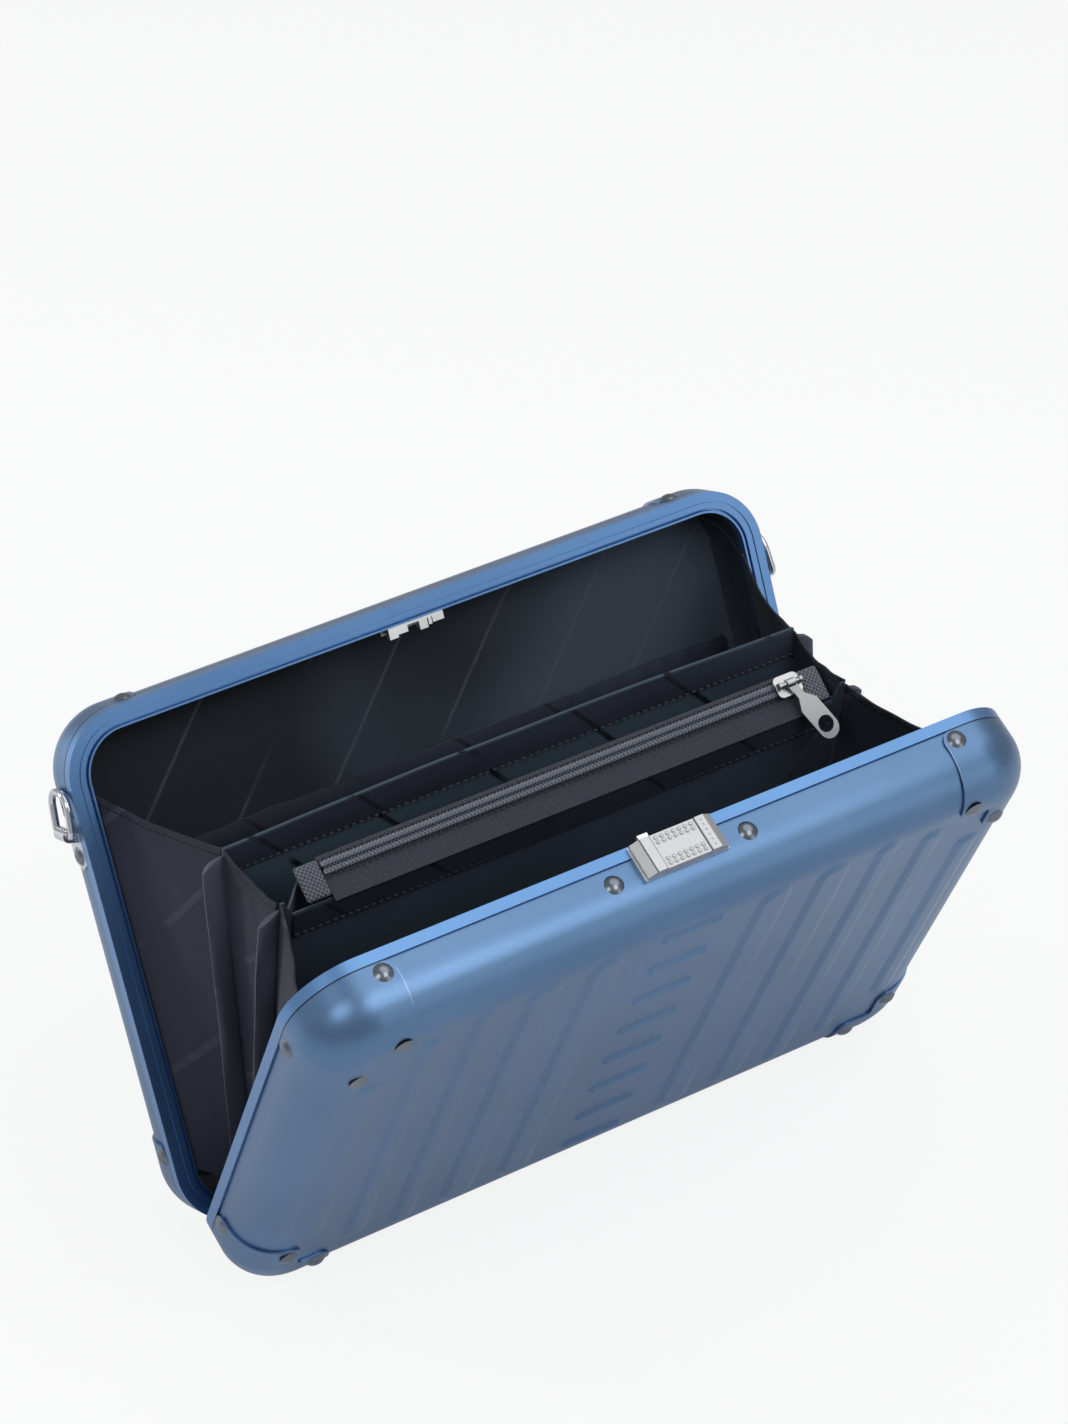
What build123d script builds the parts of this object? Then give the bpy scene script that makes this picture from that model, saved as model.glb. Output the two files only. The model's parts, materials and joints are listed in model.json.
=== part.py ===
"""Vanity case: two pressed shells hinged along the bottom, standing open like a book on its
spine, with a fold-out fabric divider and a zipped pocket between them.

Millimetres, +Z up. The origin is on the floor, under the middle of the open case.
+X runs along the hinge, -Y is the front shell's side, where the latch is.
"""
from build123d import *
from math import asin, cos, radians, sin
import os

# Overall sizes
case_width = 305.0            # over the rim frames
case_height = 204.5           # bottom to top of each shell, over the rim frames
corner_radius = 25.0          # plan corners of the rim
shell_depth = 29.6            # rim plane to the flat outer face of a skin
edge_rounding = 18.0          # between the walls and the face of a skin
opening_angle = 48.7          # between the two rim planes, gussets taut
axis_drop = 2.2               # hinge axis below the bottom of the shells

# Skins, rims and corner caps
skin_wall = 1.2
cap_wall = 0.9
cap_clearance = 0.1           # between a corner cap and the skin under it
skin_inset = cap_wall + cap_clearance
rim_gap = 0.2                 # each rim stops this far short of the rim plane
band_depth = 4.65             # rim band seen from outside
band_width = 8.4              # rim face from its outer to its inner edge
seam_gap = 0.15               # between the band and what butts against it
flange_wall = 1.4             # the rim's flange, inside the skin
flange_depth = 8.6
fine_groove_inset = 3.5
fine_groove_width = 0.9
fine_groove_depth = 0.5
seal_groove_inset = 6.5
seal_groove_width = 1.1
seal_groove_depth = 2.4
tongue_wall = 0.5
tongue_height = 1.6
cap_reach = 37.0              # how far a cap runs along each wall from the corner
cap_step = 22.1               # where its stepped outline turns on the face
cap_lobe_radius = 5.0
cap_notch_radius = 2.5

# Rivets
rivet_head_radius = 3.7
rivet_head_height = 1.5
rivet_shank_radius = 1.6
rivet_clearance = 0.1
cap_rivet_near = 16.9         # rivets on the face, from the nearer wall
cap_rivet_margin = 5.2        # from a rivet to the cap's end, along the wall
wall_rivet_depth = 9.2        # rivets on the walls, from the rim plane

# Raised pattern on the faces
rib_height = 1.0
rib_slope = 3.4
rib_gap = 10.2
wide_rib = 15.5
narrow_rib = 11.3
rib_start = 28.0              # from mid width to the foot of the first rib
rib_end_gap = 17.5            # from the top and bottom of the case to the long ribs
fourth_rib_end_gap = 23.5
fifth_rib_end_gap = 40.5
dash_length = 27.6
dash_width = 5.6
dash_slope = 2.0
dash_end_gap = 21.75          # from the ends of the case to the outermost dashes
dash_count = 8
foot_sink = 0.3               # the pattern starts this far inside the skin

# Linings
lining_wall = 2.2
lining_clearance = 0.2        # from the face of the skin
lining_gap = 1.4              # from the flange, room for the latch plate
panel_wall = 1.2              # elastic pocket panel in the back shell
panel_drop = 63.7             # panel's top edge below the top of the case
panel_stand_off = 1.5         # from the lining's face
panel_side_gap = 6.3
panel_seam = 4.0

# Hinges
hinge_spacing = 160.0
hinge_length = 50.0
hinge_middle = 16.0           # length of the front leaf's knuckle
knuckle_radius = 2.0
hinge_pin_radius = 1.0
pin_clearance = 0.05
knuckle_gap = 0.3
leaf_wall = 1.4
leaf_reach = 12.5
leaf_edge = 0.25              # leaf edge to the rim plane
leaf_relief = 2.7             # leaf cut back beside the other leaf's knuckle
neck_reach = 2.0
leaf_rivet_depth = 8.0
leaf_rivet_spacing = 34.0
small_head_radius = 2.2
small_head_height = 0.8
small_shank_radius = 1.2

# Latch on the front shell, a thumb block that slides sideways
latch_length = 34.0
latch_start = 1.0             # from the rim plane
latch_reach = 15.0
latch_base_wall = 0.8
latch_base_margin = 0.6
block_height = 3.6
block_gap = 0.2
end_bar_inner = 9.4           # from mid width to the inner side of an end bar
end_bar_outer = 13.4
ramp_foot = 1.3               # height of the sloping ends where they stop
panel_recess = 0.5
end_groove = 0.4
stud_radius = 0.42
stud_height = 0.3
stud_pitch = 2.45
stud_count = 7
stud_rows = (-5.4, -3.5, 3.5, 5.4)
bar_stud_pitch = 2.1
bar_stud_count = 6
latch_travel = 2.8
stem_wall = 2.0
stem_length = 3.0             # along X
stem_depth = 7.7              # middle of the stem from the rim plane
arm_wall = 1.6
slot_clearance = 0.5
claw_left = -5.2              # left side of the claw's arm, from mid width
claw_height = 2.0
claw_top = 11.4               # below the top of the rims
claw_reach = 7.0              # past the rim plane, into the other shell
tooth_start = 4.2
tooth_reach = 2.7
backplate_wall = 1.0
backplate_length = 66.0
backplate_start = 5.4
backplate_end = 13.8
latch_rivet_spacing = 56.4
latch_rivet_depth = 11.0

# Catch in the back shell
catch_plate_wall = 1.0
catch_plate_depth = 10.0
catch_start = 0.6
catch_left = -13.8            # world X of the plate's ends
catch_right = 10.2
catch_top_gap = 0.1           # from the rim's inner edge
catch_block_depth = 2.9
catch_blocks = ((-13.8, -10.0, 3.4), (-10.0, -5.6, 2.4), (-0.5, 3.0, 3.6),
                (3.5, 4.9, 2.8), (5.3, 10.2, 2.4))   # left, right, drop below the plate
catch_rod_radius = 0.5
catch_rod_depth = 8.4
catch_rod_pitch = 1.5
catch_rod_drop = 1.0          # upper rod below the plate
catch_rivet_x = -1.5
flat_head_radius = 3.0
flat_head_height = 0.5
catch_rivet_depth = 8.0

# Strap rings on the side walls of the back shell
ring_drop = 41.7              # pivot below the top of the case
ring_depth = 10.0             # from the rim plane
ring_wire_radius = 1.4
ring_clearance = 0.08
ring_width = 17.0
ring_length = 16.0
ring_low_corner = 2.4
ring_top_corner = 6.0
ring_stand_off = 4.3          # pivot from the wall of the skin
ring_lean = 5.6               # degrees, towards the wall
barrel_length = 9.0
barrel_wall = 1.1
neck_length = 3.6
bracket_width = 10.2
bracket_length = 15.5
bracket_wall = 1.0
bracket_taper = 3.0
ring_rivet_drop = 9.8         # below the pivot

# Divider, the middle fabric sheet
divider_lean = 4.1            # degrees to the back of upright
divider_side_gap = 28.0       # from the side of the case
divider_drop = 37.7           # top edge below the top of the case
divider_wall = 1.6
divider_offset = 0.5
fabric_bottom = 10.8          # from the hinge axis
side_fold = 8.5               # seam folds that stand out past the gussets
fold_start = 8.0              # folds begin this far above the bottom edge
fold_end = 3.0                # and stop this far below the top edge
hem_height = 11.0
hem_wall = 0.5

# Zipped pocket in front of the divider
pocket_lean = 7.9             # degrees to the front of upright
pocket_side_gap = 2.5         # from the sides of the divider
pocket_wall = 1.0
pocket_bulge = 12.0           # at the top, towards the divider
pocket_bulge_bottom = 1.5
pocket_bulge_start = 14.5     # from the hinge axis
pocket_shoulder = 18.0        # sideways run of the bulge's sloping ends
zip_drop = 1.5                # zip line below the top of the divider
zip_slope = 29.0              # degrees, tape against the pocket
zip_shift = 3.0               # middle of the zip, right of mid width
zip_back = 8.2                # zip line behind the pocket's front wall
tape_wall = 0.8
front_tape = 12.5
back_tape = 4.4
tape_fold = 9.0
tape_parting = 0.5            # half the gap between the two rows of teeth
coil_width = 2.4
coil_height = 2.2
tab_side_gap = 19.0           # webbing tabs to the sides of the pocket
tab_length = 9.8
tab_front = 10.0
tab_back = 4.0
tab_low = 1.2
tab_high = 1.4
tab_gap = 0.2
pocket_corner = 4.6           # width of the corners that rise past the zip
hem_side_gap = 0.8

# Zip slider and its pull
slider_length = 10.8
slider_width = 8.4
slider_wall = 1.2             # upper and lower plates
slider_clearance = 0.3
slider_lower_width = 5.8
slider_stop = 0.3             # slider to the webbing tab at rest
flange_foot = 0.8             # slider flanges above the tape's middle
post_wall = 0.4
post_length = 4.4
bridge_radius = 0.8
bridge_clearance = 0.08
bridge_length = 8.0           # between its two ears
ear_wall = 1.1
ear_radius = 1.3
slider_flange = 1.2
pull_slope = 53.0             # degrees below level at rest
pull_yaw = 24.0               # towards +X
pull_length = 27.0
pull_width = 8.8
pull_neck_width = 3.4
pull_neck_length = 6.5
pull_shoulder = 11.0
pull_wall = 1.3
pull_eye_radius = 3.3
pull_eye_place = 20.9         # from the pivot
pull_barrel_wall = 0.8
pull_barrel_length = 3.4
pull_lift = 0.4               # barrel above the slider's top plate

# Gussets and the strip over the hinge
gusset_wall = 0.8
gusset_side_gap = 0.3         # from the rim's inner edge
gusset_corner_gap = 0.5
gusset_rim_drop = 29.7        # top of a gusset at the rim, below the top of the case
gusset_top_drop = 0.5         # below the top of the divider
gusset_bottom = 12.4
gusset_rim_depth = 1.5
fabric_gap = 0.3
strip_wall = 0.8
strip_seat = 0.1
strip_depth = 0.4             # ends this far inside each shell
gusset_rivet_drop = 1.0
gusset_rivet_depth = 3.0
tiny_head_radius = 1.3
tiny_head_height = 0.6
tiny_shank_radius = 0.6
tiny_grip = 1.5

# Drawing aids
overcut = 1.0                 # cuts reach this far past what they cut

# Worked out from the sizes above
half_angle = opening_angle / 2
mid_height = axis_drop + case_height / 2
top_height = axis_drop + case_height
cap_rivet_far = cap_reach - cap_rivet_margin
cap_edge = edge_rounding + skin_inset
lowest = ((axis_drop + cap_edge) * -cos(radians(half_angle))
          + (shell_depth + skin_inset - cap_edge) * sin(radians(half_angle)) + cap_edge)
axis_height = lowest          # the cap edges touch the floor
flange_inset = skin_inset + skin_wall + cap_clearance
lining_inset = flange_inset + flange_wall + lining_gap
wall_grip = skin_wall + cap_clearance + flange_wall   # shank through a skin wall and the flange
skin_start = band_depth + seam_gap
lining_face = shell_depth - skin_wall - lining_clearance
dash_pitch = (case_height - 2 * dash_end_gap) / (dash_count - 1)
panel_top = top_height - panel_drop
ring_height = top_height - ring_drop
divider_width = case_width - 2 * divider_side_gap
divider_top = top_height - divider_drop
pocket_width = divider_width - 2 * pocket_side_gap
zip_radius = divider_top - zip_drop
tab_start = pocket_width / 2 - tab_side_gap
slider_rest = tab_start - slider_stop - slider_length / 2
pocket_corner_start = pocket_width / 2 - pocket_corner
gusset_rim_top = top_height - gusset_rim_drop
gusset_top = divider_top - gusset_top_drop


def leaning_plane(lean):
    """Plane through the hinge axis, leaning back by this many degrees.
    x runs along the hinge, y up the plane, z to the front."""
    return Plane(origin=(0, 0, axis_height), x_dir=(1, 0, 0),
                 z_dir=(0, -cos(radians(lean)), sin(radians(lean))))


front = leaning_plane(-half_angle)
back = Plane(origin=(0, 0, axis_height), x_dir=(-1, 0, 0),
             z_dir=(0, cos(radians(half_angle)), -sin(radians(half_angle))))
back_rim = leaning_plane(half_angle)
divider = leaning_plane(divider_lean)
pocket = leaning_plane(-pocket_lean)


def across(base, x=0.0, y=0.0, z=0.0):
    """Plane square to the base plane's x, at a point in its coordinates: x runs up, y outward."""
    origin = base.origin + base.x_dir * x + base.y_dir * y + base.z_dir * z
    return Plane(origin=origin, x_dir=base.y_dir, z_dir=base.x_dir)


def on_top(base, height, x=0.0, depth=0.0):
    """Plane on a top wall: z points up out of the wall."""
    origin = base.origin + base.x_dir * x + base.y_dir * height + base.z_dir * depth
    return Plane(origin=origin, x_dir=base.x_dir, z_dir=base.y_dir)


def on_bottom(base, height, x=0.0, depth=0.0):
    """Plane on a bottom wall: z points down out of the wall."""
    origin = base.origin + base.x_dir * x + base.y_dir * height + base.z_dir * depth
    return Plane(origin=origin, x_dir=base.x_dir, z_dir=base.y_dir * -1)


def on_side(base, side, reach, height, depth):
    """Plane on a side wall: z points out of the wall. side is 1 or -1 along the base's x."""
    origin = base.origin + base.x_dir * side * reach + base.y_dir * height + base.z_dir * depth
    return Plane(origin=origin, x_dir=base.y_dir, z_dir=base.x_dir * side)


def on_face(base, x, height, depth):
    """Plane on the face of a shell: z points out of it."""
    origin = base.origin + base.x_dir * x + base.y_dir * height + base.z_dir * depth
    return Plane(origin=origin, x_dir=base.x_dir, z_dir=base.z_dir)


def rim_outline(inset, mode=Mode.ADD):
    """The rounded outline of the rim, drawn in by this much."""
    with Locations((0, mid_height)):
        RectangleRounded(case_width - 2 * inset, case_height - 2 * inset,
                         corner_radius - inset, mode=mode)


def filled_tray(base, inset, start, end, rounding):
    """A solid tray shape from one depth to another, with its outer edges rounded."""
    with BuildPart() as tray:
        with BuildSketch(base.offset(start)):
            rim_outline(inset)
        extrude(amount=end - start)
        outer_face = tray.faces().sort_by(Axis(base.origin, base.z_dir))[-1]
        fillet(outer_face.edges(), rounding)
    return tray.part


def rivet_group(seats, head_radius, head_height, shank_radius):
    """Dome-headed rivets, one on each seat: a plane and the length of the shank under it."""
    dome_radius = (head_radius ** 2 + head_height ** 2) / (2 * head_height)
    half_turn = asin(head_radius / dome_radius) / 2
    middle = (dome_radius * sin(half_turn),
              head_height - dome_radius + dome_radius * cos(half_turn))
    with BuildPart() as rivets:
        for seat, grip in seats:
            with BuildSketch(Plane(origin=seat.origin, x_dir=seat.x_dir, z_dir=seat.y_dir * -1)):
                with BuildLine():
                    Polyline((0, head_height), (0, -grip), (shank_radius, -grip),
                             (shank_radius, 0), (head_radius, 0))
                    ThreePointArc((head_radius, 0), middle, (0, head_height))
                make_face()
            revolve(axis=Axis(seat.origin, seat.z_dir))
    return rivets.part


def rivet_holes(seats, radius):
    """Cylinders that clear the shanks of rivets on these seats."""
    with BuildPart() as holes:
        for seat, grip in seats:
            with BuildSketch(seat.offset(-grip - overcut)):
                Circle(radius + rivet_clearance)
            extrude(amount=grip + 2 * overcut)
    return holes.part


def cap_rivet_seats(base, side, end):
    """Four seats on one corner cap. side and end are 1 or -1 along the base's x and y."""
    half_width = case_width / 2
    wall_height = mid_height + end * case_height / 2
    near_wall = on_top if end > 0 else on_bottom
    cap_face = shell_depth + skin_inset
    long_grip = skin_inset + wall_grip
    face_grip = skin_inset + skin_wall
    return [(near_wall(base, wall_height, side * (half_width - cap_rivet_far),
                       wall_rivet_depth), long_grip),
            (on_side(base, side, half_width, wall_height - end * cap_rivet_far,
                     wall_rivet_depth), long_grip),
            (on_face(base, side * (half_width - cap_rivet_far),
                     wall_height - end * cap_rivet_near, cap_face), face_grip),
            (on_face(base, side * (half_width - cap_rivet_near),
                     wall_height - end * cap_rivet_far, cap_face), face_grip)]


corners = [(side, end) for side in (-1, 1) for end in (-1, 1)]


def all_cap_seats(base):
    return [seat for side, end in corners for seat in cap_rivet_seats(base, side, end)]


def rib(base, middle, length, width, slope, turn):
    """One raised bar of the pattern, with sloping sides and round ends."""
    with BuildPart() as bar:
        sink_slope = slope * foot_sink / rib_height
        for rise, spread in ((-foot_sink, sink_slope), (rib_height, -slope)):
            with BuildSketch(base.offset(shell_depth + rise)):
                with Locations(middle):
                    SlotOverall(length + 2 * spread, width + 2 * spread, rotation=turn)
        loft(ruled=True)
    return bar.part


def pattern(base):
    """Upright ribs on both sides of a middle column of short dashes."""
    bars = []
    foot = rib_start
    long_rib = case_height - 2 * rib_end_gap
    ribs = ((wide_rib, long_rib), (wide_rib, long_rib), (narrow_rib, long_rib),
            (narrow_rib, case_height - 2 * fourth_rib_end_gap),
            (narrow_rib, case_height - 2 * fifth_rib_end_gap))
    for width, length in ribs:
        for side in (-1, 1):
            bars.append(rib(base, (side * (foot + width / 2), mid_height),
                            length, width, rib_slope, 90))
        foot += width + rib_gap
    for place in range(dash_count):
        height = mid_height + (place - (dash_count - 1) / 2) * dash_pitch
        bars.append(rib(base, (0, height), dash_length, dash_width, dash_slope, 0))
    return bars


def shell_skin(base, extra_holes):
    """Pressed shell: walls, rounded edges, flat face and the raised pattern."""
    outer = filled_tray(base, skin_inset, skin_start, shell_depth, edge_rounding)
    cavity = filled_tray(base, skin_inset + skin_wall, skin_start - overcut, shell_depth - skin_wall,
                         edge_rounding - skin_wall)
    bars = pattern(base)
    holes = rivet_holes(all_cap_seats(base), rivet_shank_radius)
    with BuildPart() as skin:
        add(outer)
        add(bars)
        add(cavity, mode=Mode.SUBTRACT)
        add(holes, mode=Mode.SUBTRACT)
        for hole in extra_holes:
            add(hole, mode=Mode.SUBTRACT)
    return skin.part


def rim_frame(base, extra_holes, with_tongue):
    """Rim extrusion bent round the shell: a band outside, a flange inside the skin."""
    holes = rivet_holes(all_cap_seats(base), rivet_shank_radius)
    with BuildPart() as rim:
        with BuildSketch(base.offset(rim_gap)):
            rim_outline(0)
            rim_outline(band_width, Mode.SUBTRACT)
        extrude(amount=band_depth - rim_gap)
        with BuildSketch(base.offset(band_depth)):
            rim_outline(flange_inset)
            rim_outline(flange_inset + flange_wall, Mode.SUBTRACT)
        extrude(amount=flange_depth)
        with BuildSketch(base.offset(rim_gap)):
            rim_outline(fine_groove_inset)
            rim_outline(fine_groove_inset + fine_groove_width, Mode.SUBTRACT)
        extrude(amount=fine_groove_depth, mode=Mode.SUBTRACT)
        if with_tongue:
            tongue_inset = seal_groove_inset + (seal_groove_width - tongue_wall) / 2
            with BuildSketch(base.offset(rim_gap)):
                rim_outline(tongue_inset)
                rim_outline(tongue_inset + tongue_wall, Mode.SUBTRACT)
                with Locations((0, axis_drop)):
                    Rectangle(case_width, 2 * corner_radius, mode=Mode.SUBTRACT)
            extrude(amount=-tongue_height)
        else:
            with BuildSketch(base.offset(rim_gap)):
                rim_outline(seal_groove_inset)
                rim_outline(seal_groove_inset + seal_groove_width, Mode.SUBTRACT)
            extrude(amount=seal_groove_depth, mode=Mode.SUBTRACT)
        with BuildSketch(base):
            with Locations(*[(place, axis_drop) for place in hinge_places]):
                Rectangle(hinge_length + 2 * knuckle_gap, 2 * skin_inset)
        extrude(amount=band_depth, mode=Mode.SUBTRACT)
        add(holes, mode=Mode.SUBTRACT)
        for hole in extra_holes:
            add(hole, mode=Mode.SUBTRACT)
    return rim.part


def corner_cap(base, side, end):
    """Thin pressed cover over one corner, with a stepped outline round its face rivets."""
    outer = filled_tray(base, 0, skin_start, shell_depth + skin_inset, cap_edge)
    inner = filled_tray(base, cap_wall, skin_start - overcut, shell_depth + cap_clearance,
                        cap_edge - cap_wall)
    holes = rivet_holes(cap_rivet_seats(base, side, end), rivet_shank_radius)
    half_width = case_width / 2
    corner_height = mid_height + end * case_height / 2
    with BuildPart() as cap:
        add(outer)
        add(inner, mode=Mode.SUBTRACT)
        with BuildSketch(base) as region:
            with BuildLine():
                Polyline((side * (half_width + overcut), corner_height + end * overcut),
                         (side * (half_width - cap_reach), corner_height + end * overcut),
                         (side * (half_width - cap_reach), corner_height - end * cap_step),
                         (side * (half_width - cap_step), corner_height - end * cap_step),
                         (side * (half_width - cap_step), corner_height - end * cap_reach),
                         (side * (half_width + overcut), corner_height - end * cap_reach),
                         close=True)
            make_face()
            inner_step = region.vertices().sort_by_distance(
                (side * (half_width - cap_step), corner_height - end * cap_step))[0]
            fillet(inner_step, cap_notch_radius)
            lobes = [region.vertices().sort_by_distance(turn)[0] for turn in
                     ((side * (half_width - cap_reach), corner_height - end * cap_step),
                      (side * (half_width - cap_step), corner_height - end * cap_reach))]
            fillet(lobes, cap_lobe_radius)
        extrude(amount=shell_depth + 2 * skin_inset, mode=Mode.INTERSECT)
        rim_ends = [cap.edges().sort_by_distance(on_face(base, x, y, skin_start).origin)[0]
                    for x, y in ((side * (half_width - cap_reach),
                                  corner_height - end * cap_wall / 2),
                                 (side * (half_width - cap_wall / 2),
                                  corner_height - end * cap_reach))]
        fillet(rim_ends, cap_lobe_radius - seam_gap)
        add(holes, mode=Mode.SUBTRACT)
    return cap.part


def lining(base, extra_holes):
    """Padded fabric tray inside a shell, tucked under the rim band."""
    lining_edge = skin_inset + edge_rounding - lining_inset
    outer = filled_tray(base, lining_inset, skin_start, lining_face, lining_edge)
    inner = filled_tray(base, lining_inset + lining_wall, skin_start - overcut,
                        lining_face - lining_wall, lining_edge - lining_wall)
    with BuildPart() as tray:
        add(outer)
        add(inner, mode=Mode.SUBTRACT)
        for hole in extra_holes:
            add(hole, mode=Mode.SUBTRACT)
    return tray.part


hinge_places = (-hinge_spacing / 2, hinge_spacing / 2)
leaf_top = axis_drop + skin_inset


def hinge_leaves(base, knuckle_runs):
    """Both hinges' leaves on one shell. knuckle_runs are the stretches of barrel that
    belong to them, from the middle of each hinge."""
    with BuildPart() as leaves:
        for place in hinge_places:
            plain = across(base, place - hinge_length / 2)
            with BuildSketch(plain):
                with BuildLine():
                    Polyline((leaf_top - leaf_wall, leaf_relief), (leaf_top, leaf_relief),
                             (leaf_top, leaf_reach), (leaf_top - leaf_wall, leaf_reach),
                             close=True)
                make_face()
            extrude(amount=hinge_length)
            for start, end in knuckle_runs:
                with BuildSketch(across(base, place + start)):
                    Circle(knuckle_radius)
                    with Locations((leaf_top / 2, leaf_edge + neck_reach / 2)):
                        Rectangle(leaf_top, neck_reach)
                    neck_end = leaf_relief + overcut
                    with Locations((leaf_top - leaf_wall / 2, (leaf_edge + neck_end) / 2)):
                        Rectangle(leaf_wall, neck_end - leaf_edge)
                extrude(amount=end - start)
            with BuildSketch(plain):
                Circle(hinge_pin_radius + pin_clearance)
            extrude(amount=hinge_length, mode=Mode.SUBTRACT)
    return leaves.part


def leaf_rivet_seats(base):
    return [(on_bottom(base, leaf_top - leaf_wall, place + shift, leaf_rivet_depth),
             leaf_wall + wall_grip)
            for place in hinge_places
            for shift in (-leaf_rivet_spacing / 2, leaf_rivet_spacing / 2)]


def save(part, name):
    part.label = name
    export_step(part, f"parts/{name}.step")
    print(name, round(part.volume, 1))


os.makedirs("parts", exist_ok=True)

# Seats of the loose fasteners that pass through skins and rims
skin_top = top_height - skin_inset
band_inner = top_height - band_width
latch_grip = wall_grip + lining_gap - lining_clearance
latch_seats = [(on_top(front, skin_top, x, latch_rivet_depth), latch_grip)
               for x in (-latch_rivet_spacing / 2, latch_rivet_spacing / 2)]
catch_top = band_inner - catch_top_gap
catch_seat = (on_top(back, skin_top, -catch_rivet_x, catch_rivet_depth),
              skin_top - catch_top + catch_plate_wall)
ring_wall = case_width / 2 - skin_inset
ring_seats = [(on_side(back, side, ring_wall + bracket_wall, ring_height - ring_rivet_drop,
                       ring_depth), bracket_wall + wall_grip) for side in (-1, 1)]
band_side = case_width / 2 - band_width


def gusset_rivet_seats(base):
    """Seats on the inner edge of a rim, facing inwards, at the top of the gussets."""
    inward = [on_side(base, side, band_side, gusset_rim_top - gusset_rivet_drop,
                      gusset_rivet_depth) for side in (-1, 1)]
    return [(Plane(origin=seat.origin, x_dir=seat.x_dir, z_dir=seat.z_dir * -1), tiny_grip)
            for seat in inward]


latch_holes = rivet_holes(latch_seats, rivet_shank_radius)
catch_hole = rivet_holes([catch_seat], small_shank_radius)
ring_holes = rivet_holes(ring_seats, rivet_shank_radius)

# The slot under the thumb block, long enough for its travel
slot_left = claw_left - slot_clearance
slot_right = claw_left + stem_length + latch_travel + slot_clearance
with BuildPart() as latch_slot:
    with BuildSketch(on_top(front, top_height + latch_base_wall, 0, stem_depth)):
        with Locations(((slot_left + slot_right) / 2, 0)):
            Rectangle(slot_right - slot_left, stem_wall + 2 * slot_clearance)
    extrude(amount=-(latch_base_wall + lining_inset + 2 * lining_wall))

for name, base, extra_holes in (("front", front, [latch_holes, latch_slot.part]),
                                ("back", back, [catch_hole, ring_holes])):
    leaf_holes = rivet_holes(leaf_rivet_seats(base), small_shank_radius)
    rim_holes = rivet_holes(gusset_rivet_seats(base), tiny_shank_radius)
    save(shell_skin(base, extra_holes + [leaf_holes]), f"{name}_shell_skin")
    save(rim_frame(base, extra_holes + [leaf_holes, rim_holes], base is front),
         f"{name}_rim_frame")
    for side, end in corners:
        height_name = "top" if end > 0 else "bottom"
        side_name = "right" if side * base.x_dir.X > 0 else "left"
        save(corner_cap(base, side, end), f"{name}_{height_name}_{side_name}_cap")
    save(rivet_group(all_cap_seats(base), rivet_head_radius, rivet_head_height,
                     rivet_shank_radius), f"{name}_cap_rivets")
    save(rivet_group(gusset_rivet_seats(base), tiny_head_radius, tiny_head_height,
                     tiny_shank_radius), f"{name}_gusset_rivets")

save(lining(front, [latch_slot.part]), "front_lining")
save(lining(back, [catch_hole]), "back_lining")

# Pocket panel: a stiffened fabric sheet sewn to the face of the back lining
panel_edge = lining_inset + lining_wall + panel_side_gap
panel_back = lining_face - lining_wall - panel_stand_off
seam_edge = skin_inset + edge_rounding
with BuildPart() as back_pocket_panel:
    with BuildSketch(back.offset(panel_back - panel_wall)):
        rim_outline(panel_edge)
        with Locations((0, panel_top + case_height / 2)):
            Rectangle(case_width, case_height, mode=Mode.SUBTRACT)
    extrude(amount=panel_wall)
    with BuildSketch(back.offset(panel_back)):
        rim_outline(seam_edge)
        rim_outline(seam_edge + panel_seam, Mode.SUBTRACT)
        with Locations((0, panel_top + case_height / 2)):
            Rectangle(case_width, case_height, mode=Mode.SUBTRACT)
    extrude(amount=panel_stand_off)
save(back_pocket_panel.part, "back_pocket_panel")

# Hinges
front_run = [(-hinge_middle / 2, hinge_middle / 2)]
back_runs = [(-hinge_length / 2, -hinge_middle / 2 - knuckle_gap),
             (hinge_middle / 2 + knuckle_gap, hinge_length / 2)]
for name, base, runs in (("front", front, front_run), ("back", back, back_runs)):
    leaf_holes = rivet_holes(leaf_rivet_seats(base), small_shank_radius)
    leaves = hinge_leaves(base, runs)
    with BuildPart() as drilled_leaves:
        add(leaves)
        add(leaf_holes, mode=Mode.SUBTRACT)
    save(drilled_leaves.part, f"{name}_hinge_leaves")
    save(rivet_group(leaf_rivet_seats(base), small_head_radius, small_head_height,
                     small_shank_radius), f"{name}_hinge_rivets")
with BuildPart() as hinge_pins:
    for place in hinge_places:
        with BuildSketch(across(back, -place - hinge_length / 2)):
            Circle(hinge_pin_radius)
        extrude(amount=hinge_length)
save(hinge_pins.part, "hinge_pins")

# Latch base plate: stepped, on the rim band and on the lower skin behind it
base_top = top_height + latch_base_wall
with BuildPart() as latch_base:
    with BuildSketch(across(front, -latch_length / 2 - latch_base_margin)):
        with BuildLine():
            Polyline((top_height, latch_start), (base_top, latch_start),
                     (base_top, latch_reach), (skin_top, latch_reach),
                     (skin_top, skin_start), (top_height, skin_start), close=True)
        make_face()
    extrude(amount=latch_length + 2 * latch_base_margin)
    add(latch_slot.part, mode=Mode.SUBTRACT)
save(latch_base.part, "latch_base")
save(rivet_group(latch_seats, rivet_head_radius, rivet_head_height, rivet_shank_radius),
     "latch_rivets")

# Plate inside the front shell that the latch rivets clamp
backplate_top = skin_top - wall_grip - lining_clearance
with BuildPart() as latch_backplate:
    with BuildSketch(on_top(front, backplate_top, 0, (backplate_start + backplate_end) / 2)):
        Rectangle(backplate_length, backplate_end - backplate_start)
    extrude(amount=-backplate_wall)
    add(latch_holes, mode=Mode.SUBTRACT)
    add(latch_slot.part, mode=Mode.SUBTRACT)
save(latch_backplate.part, "latch_backplate")

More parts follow.
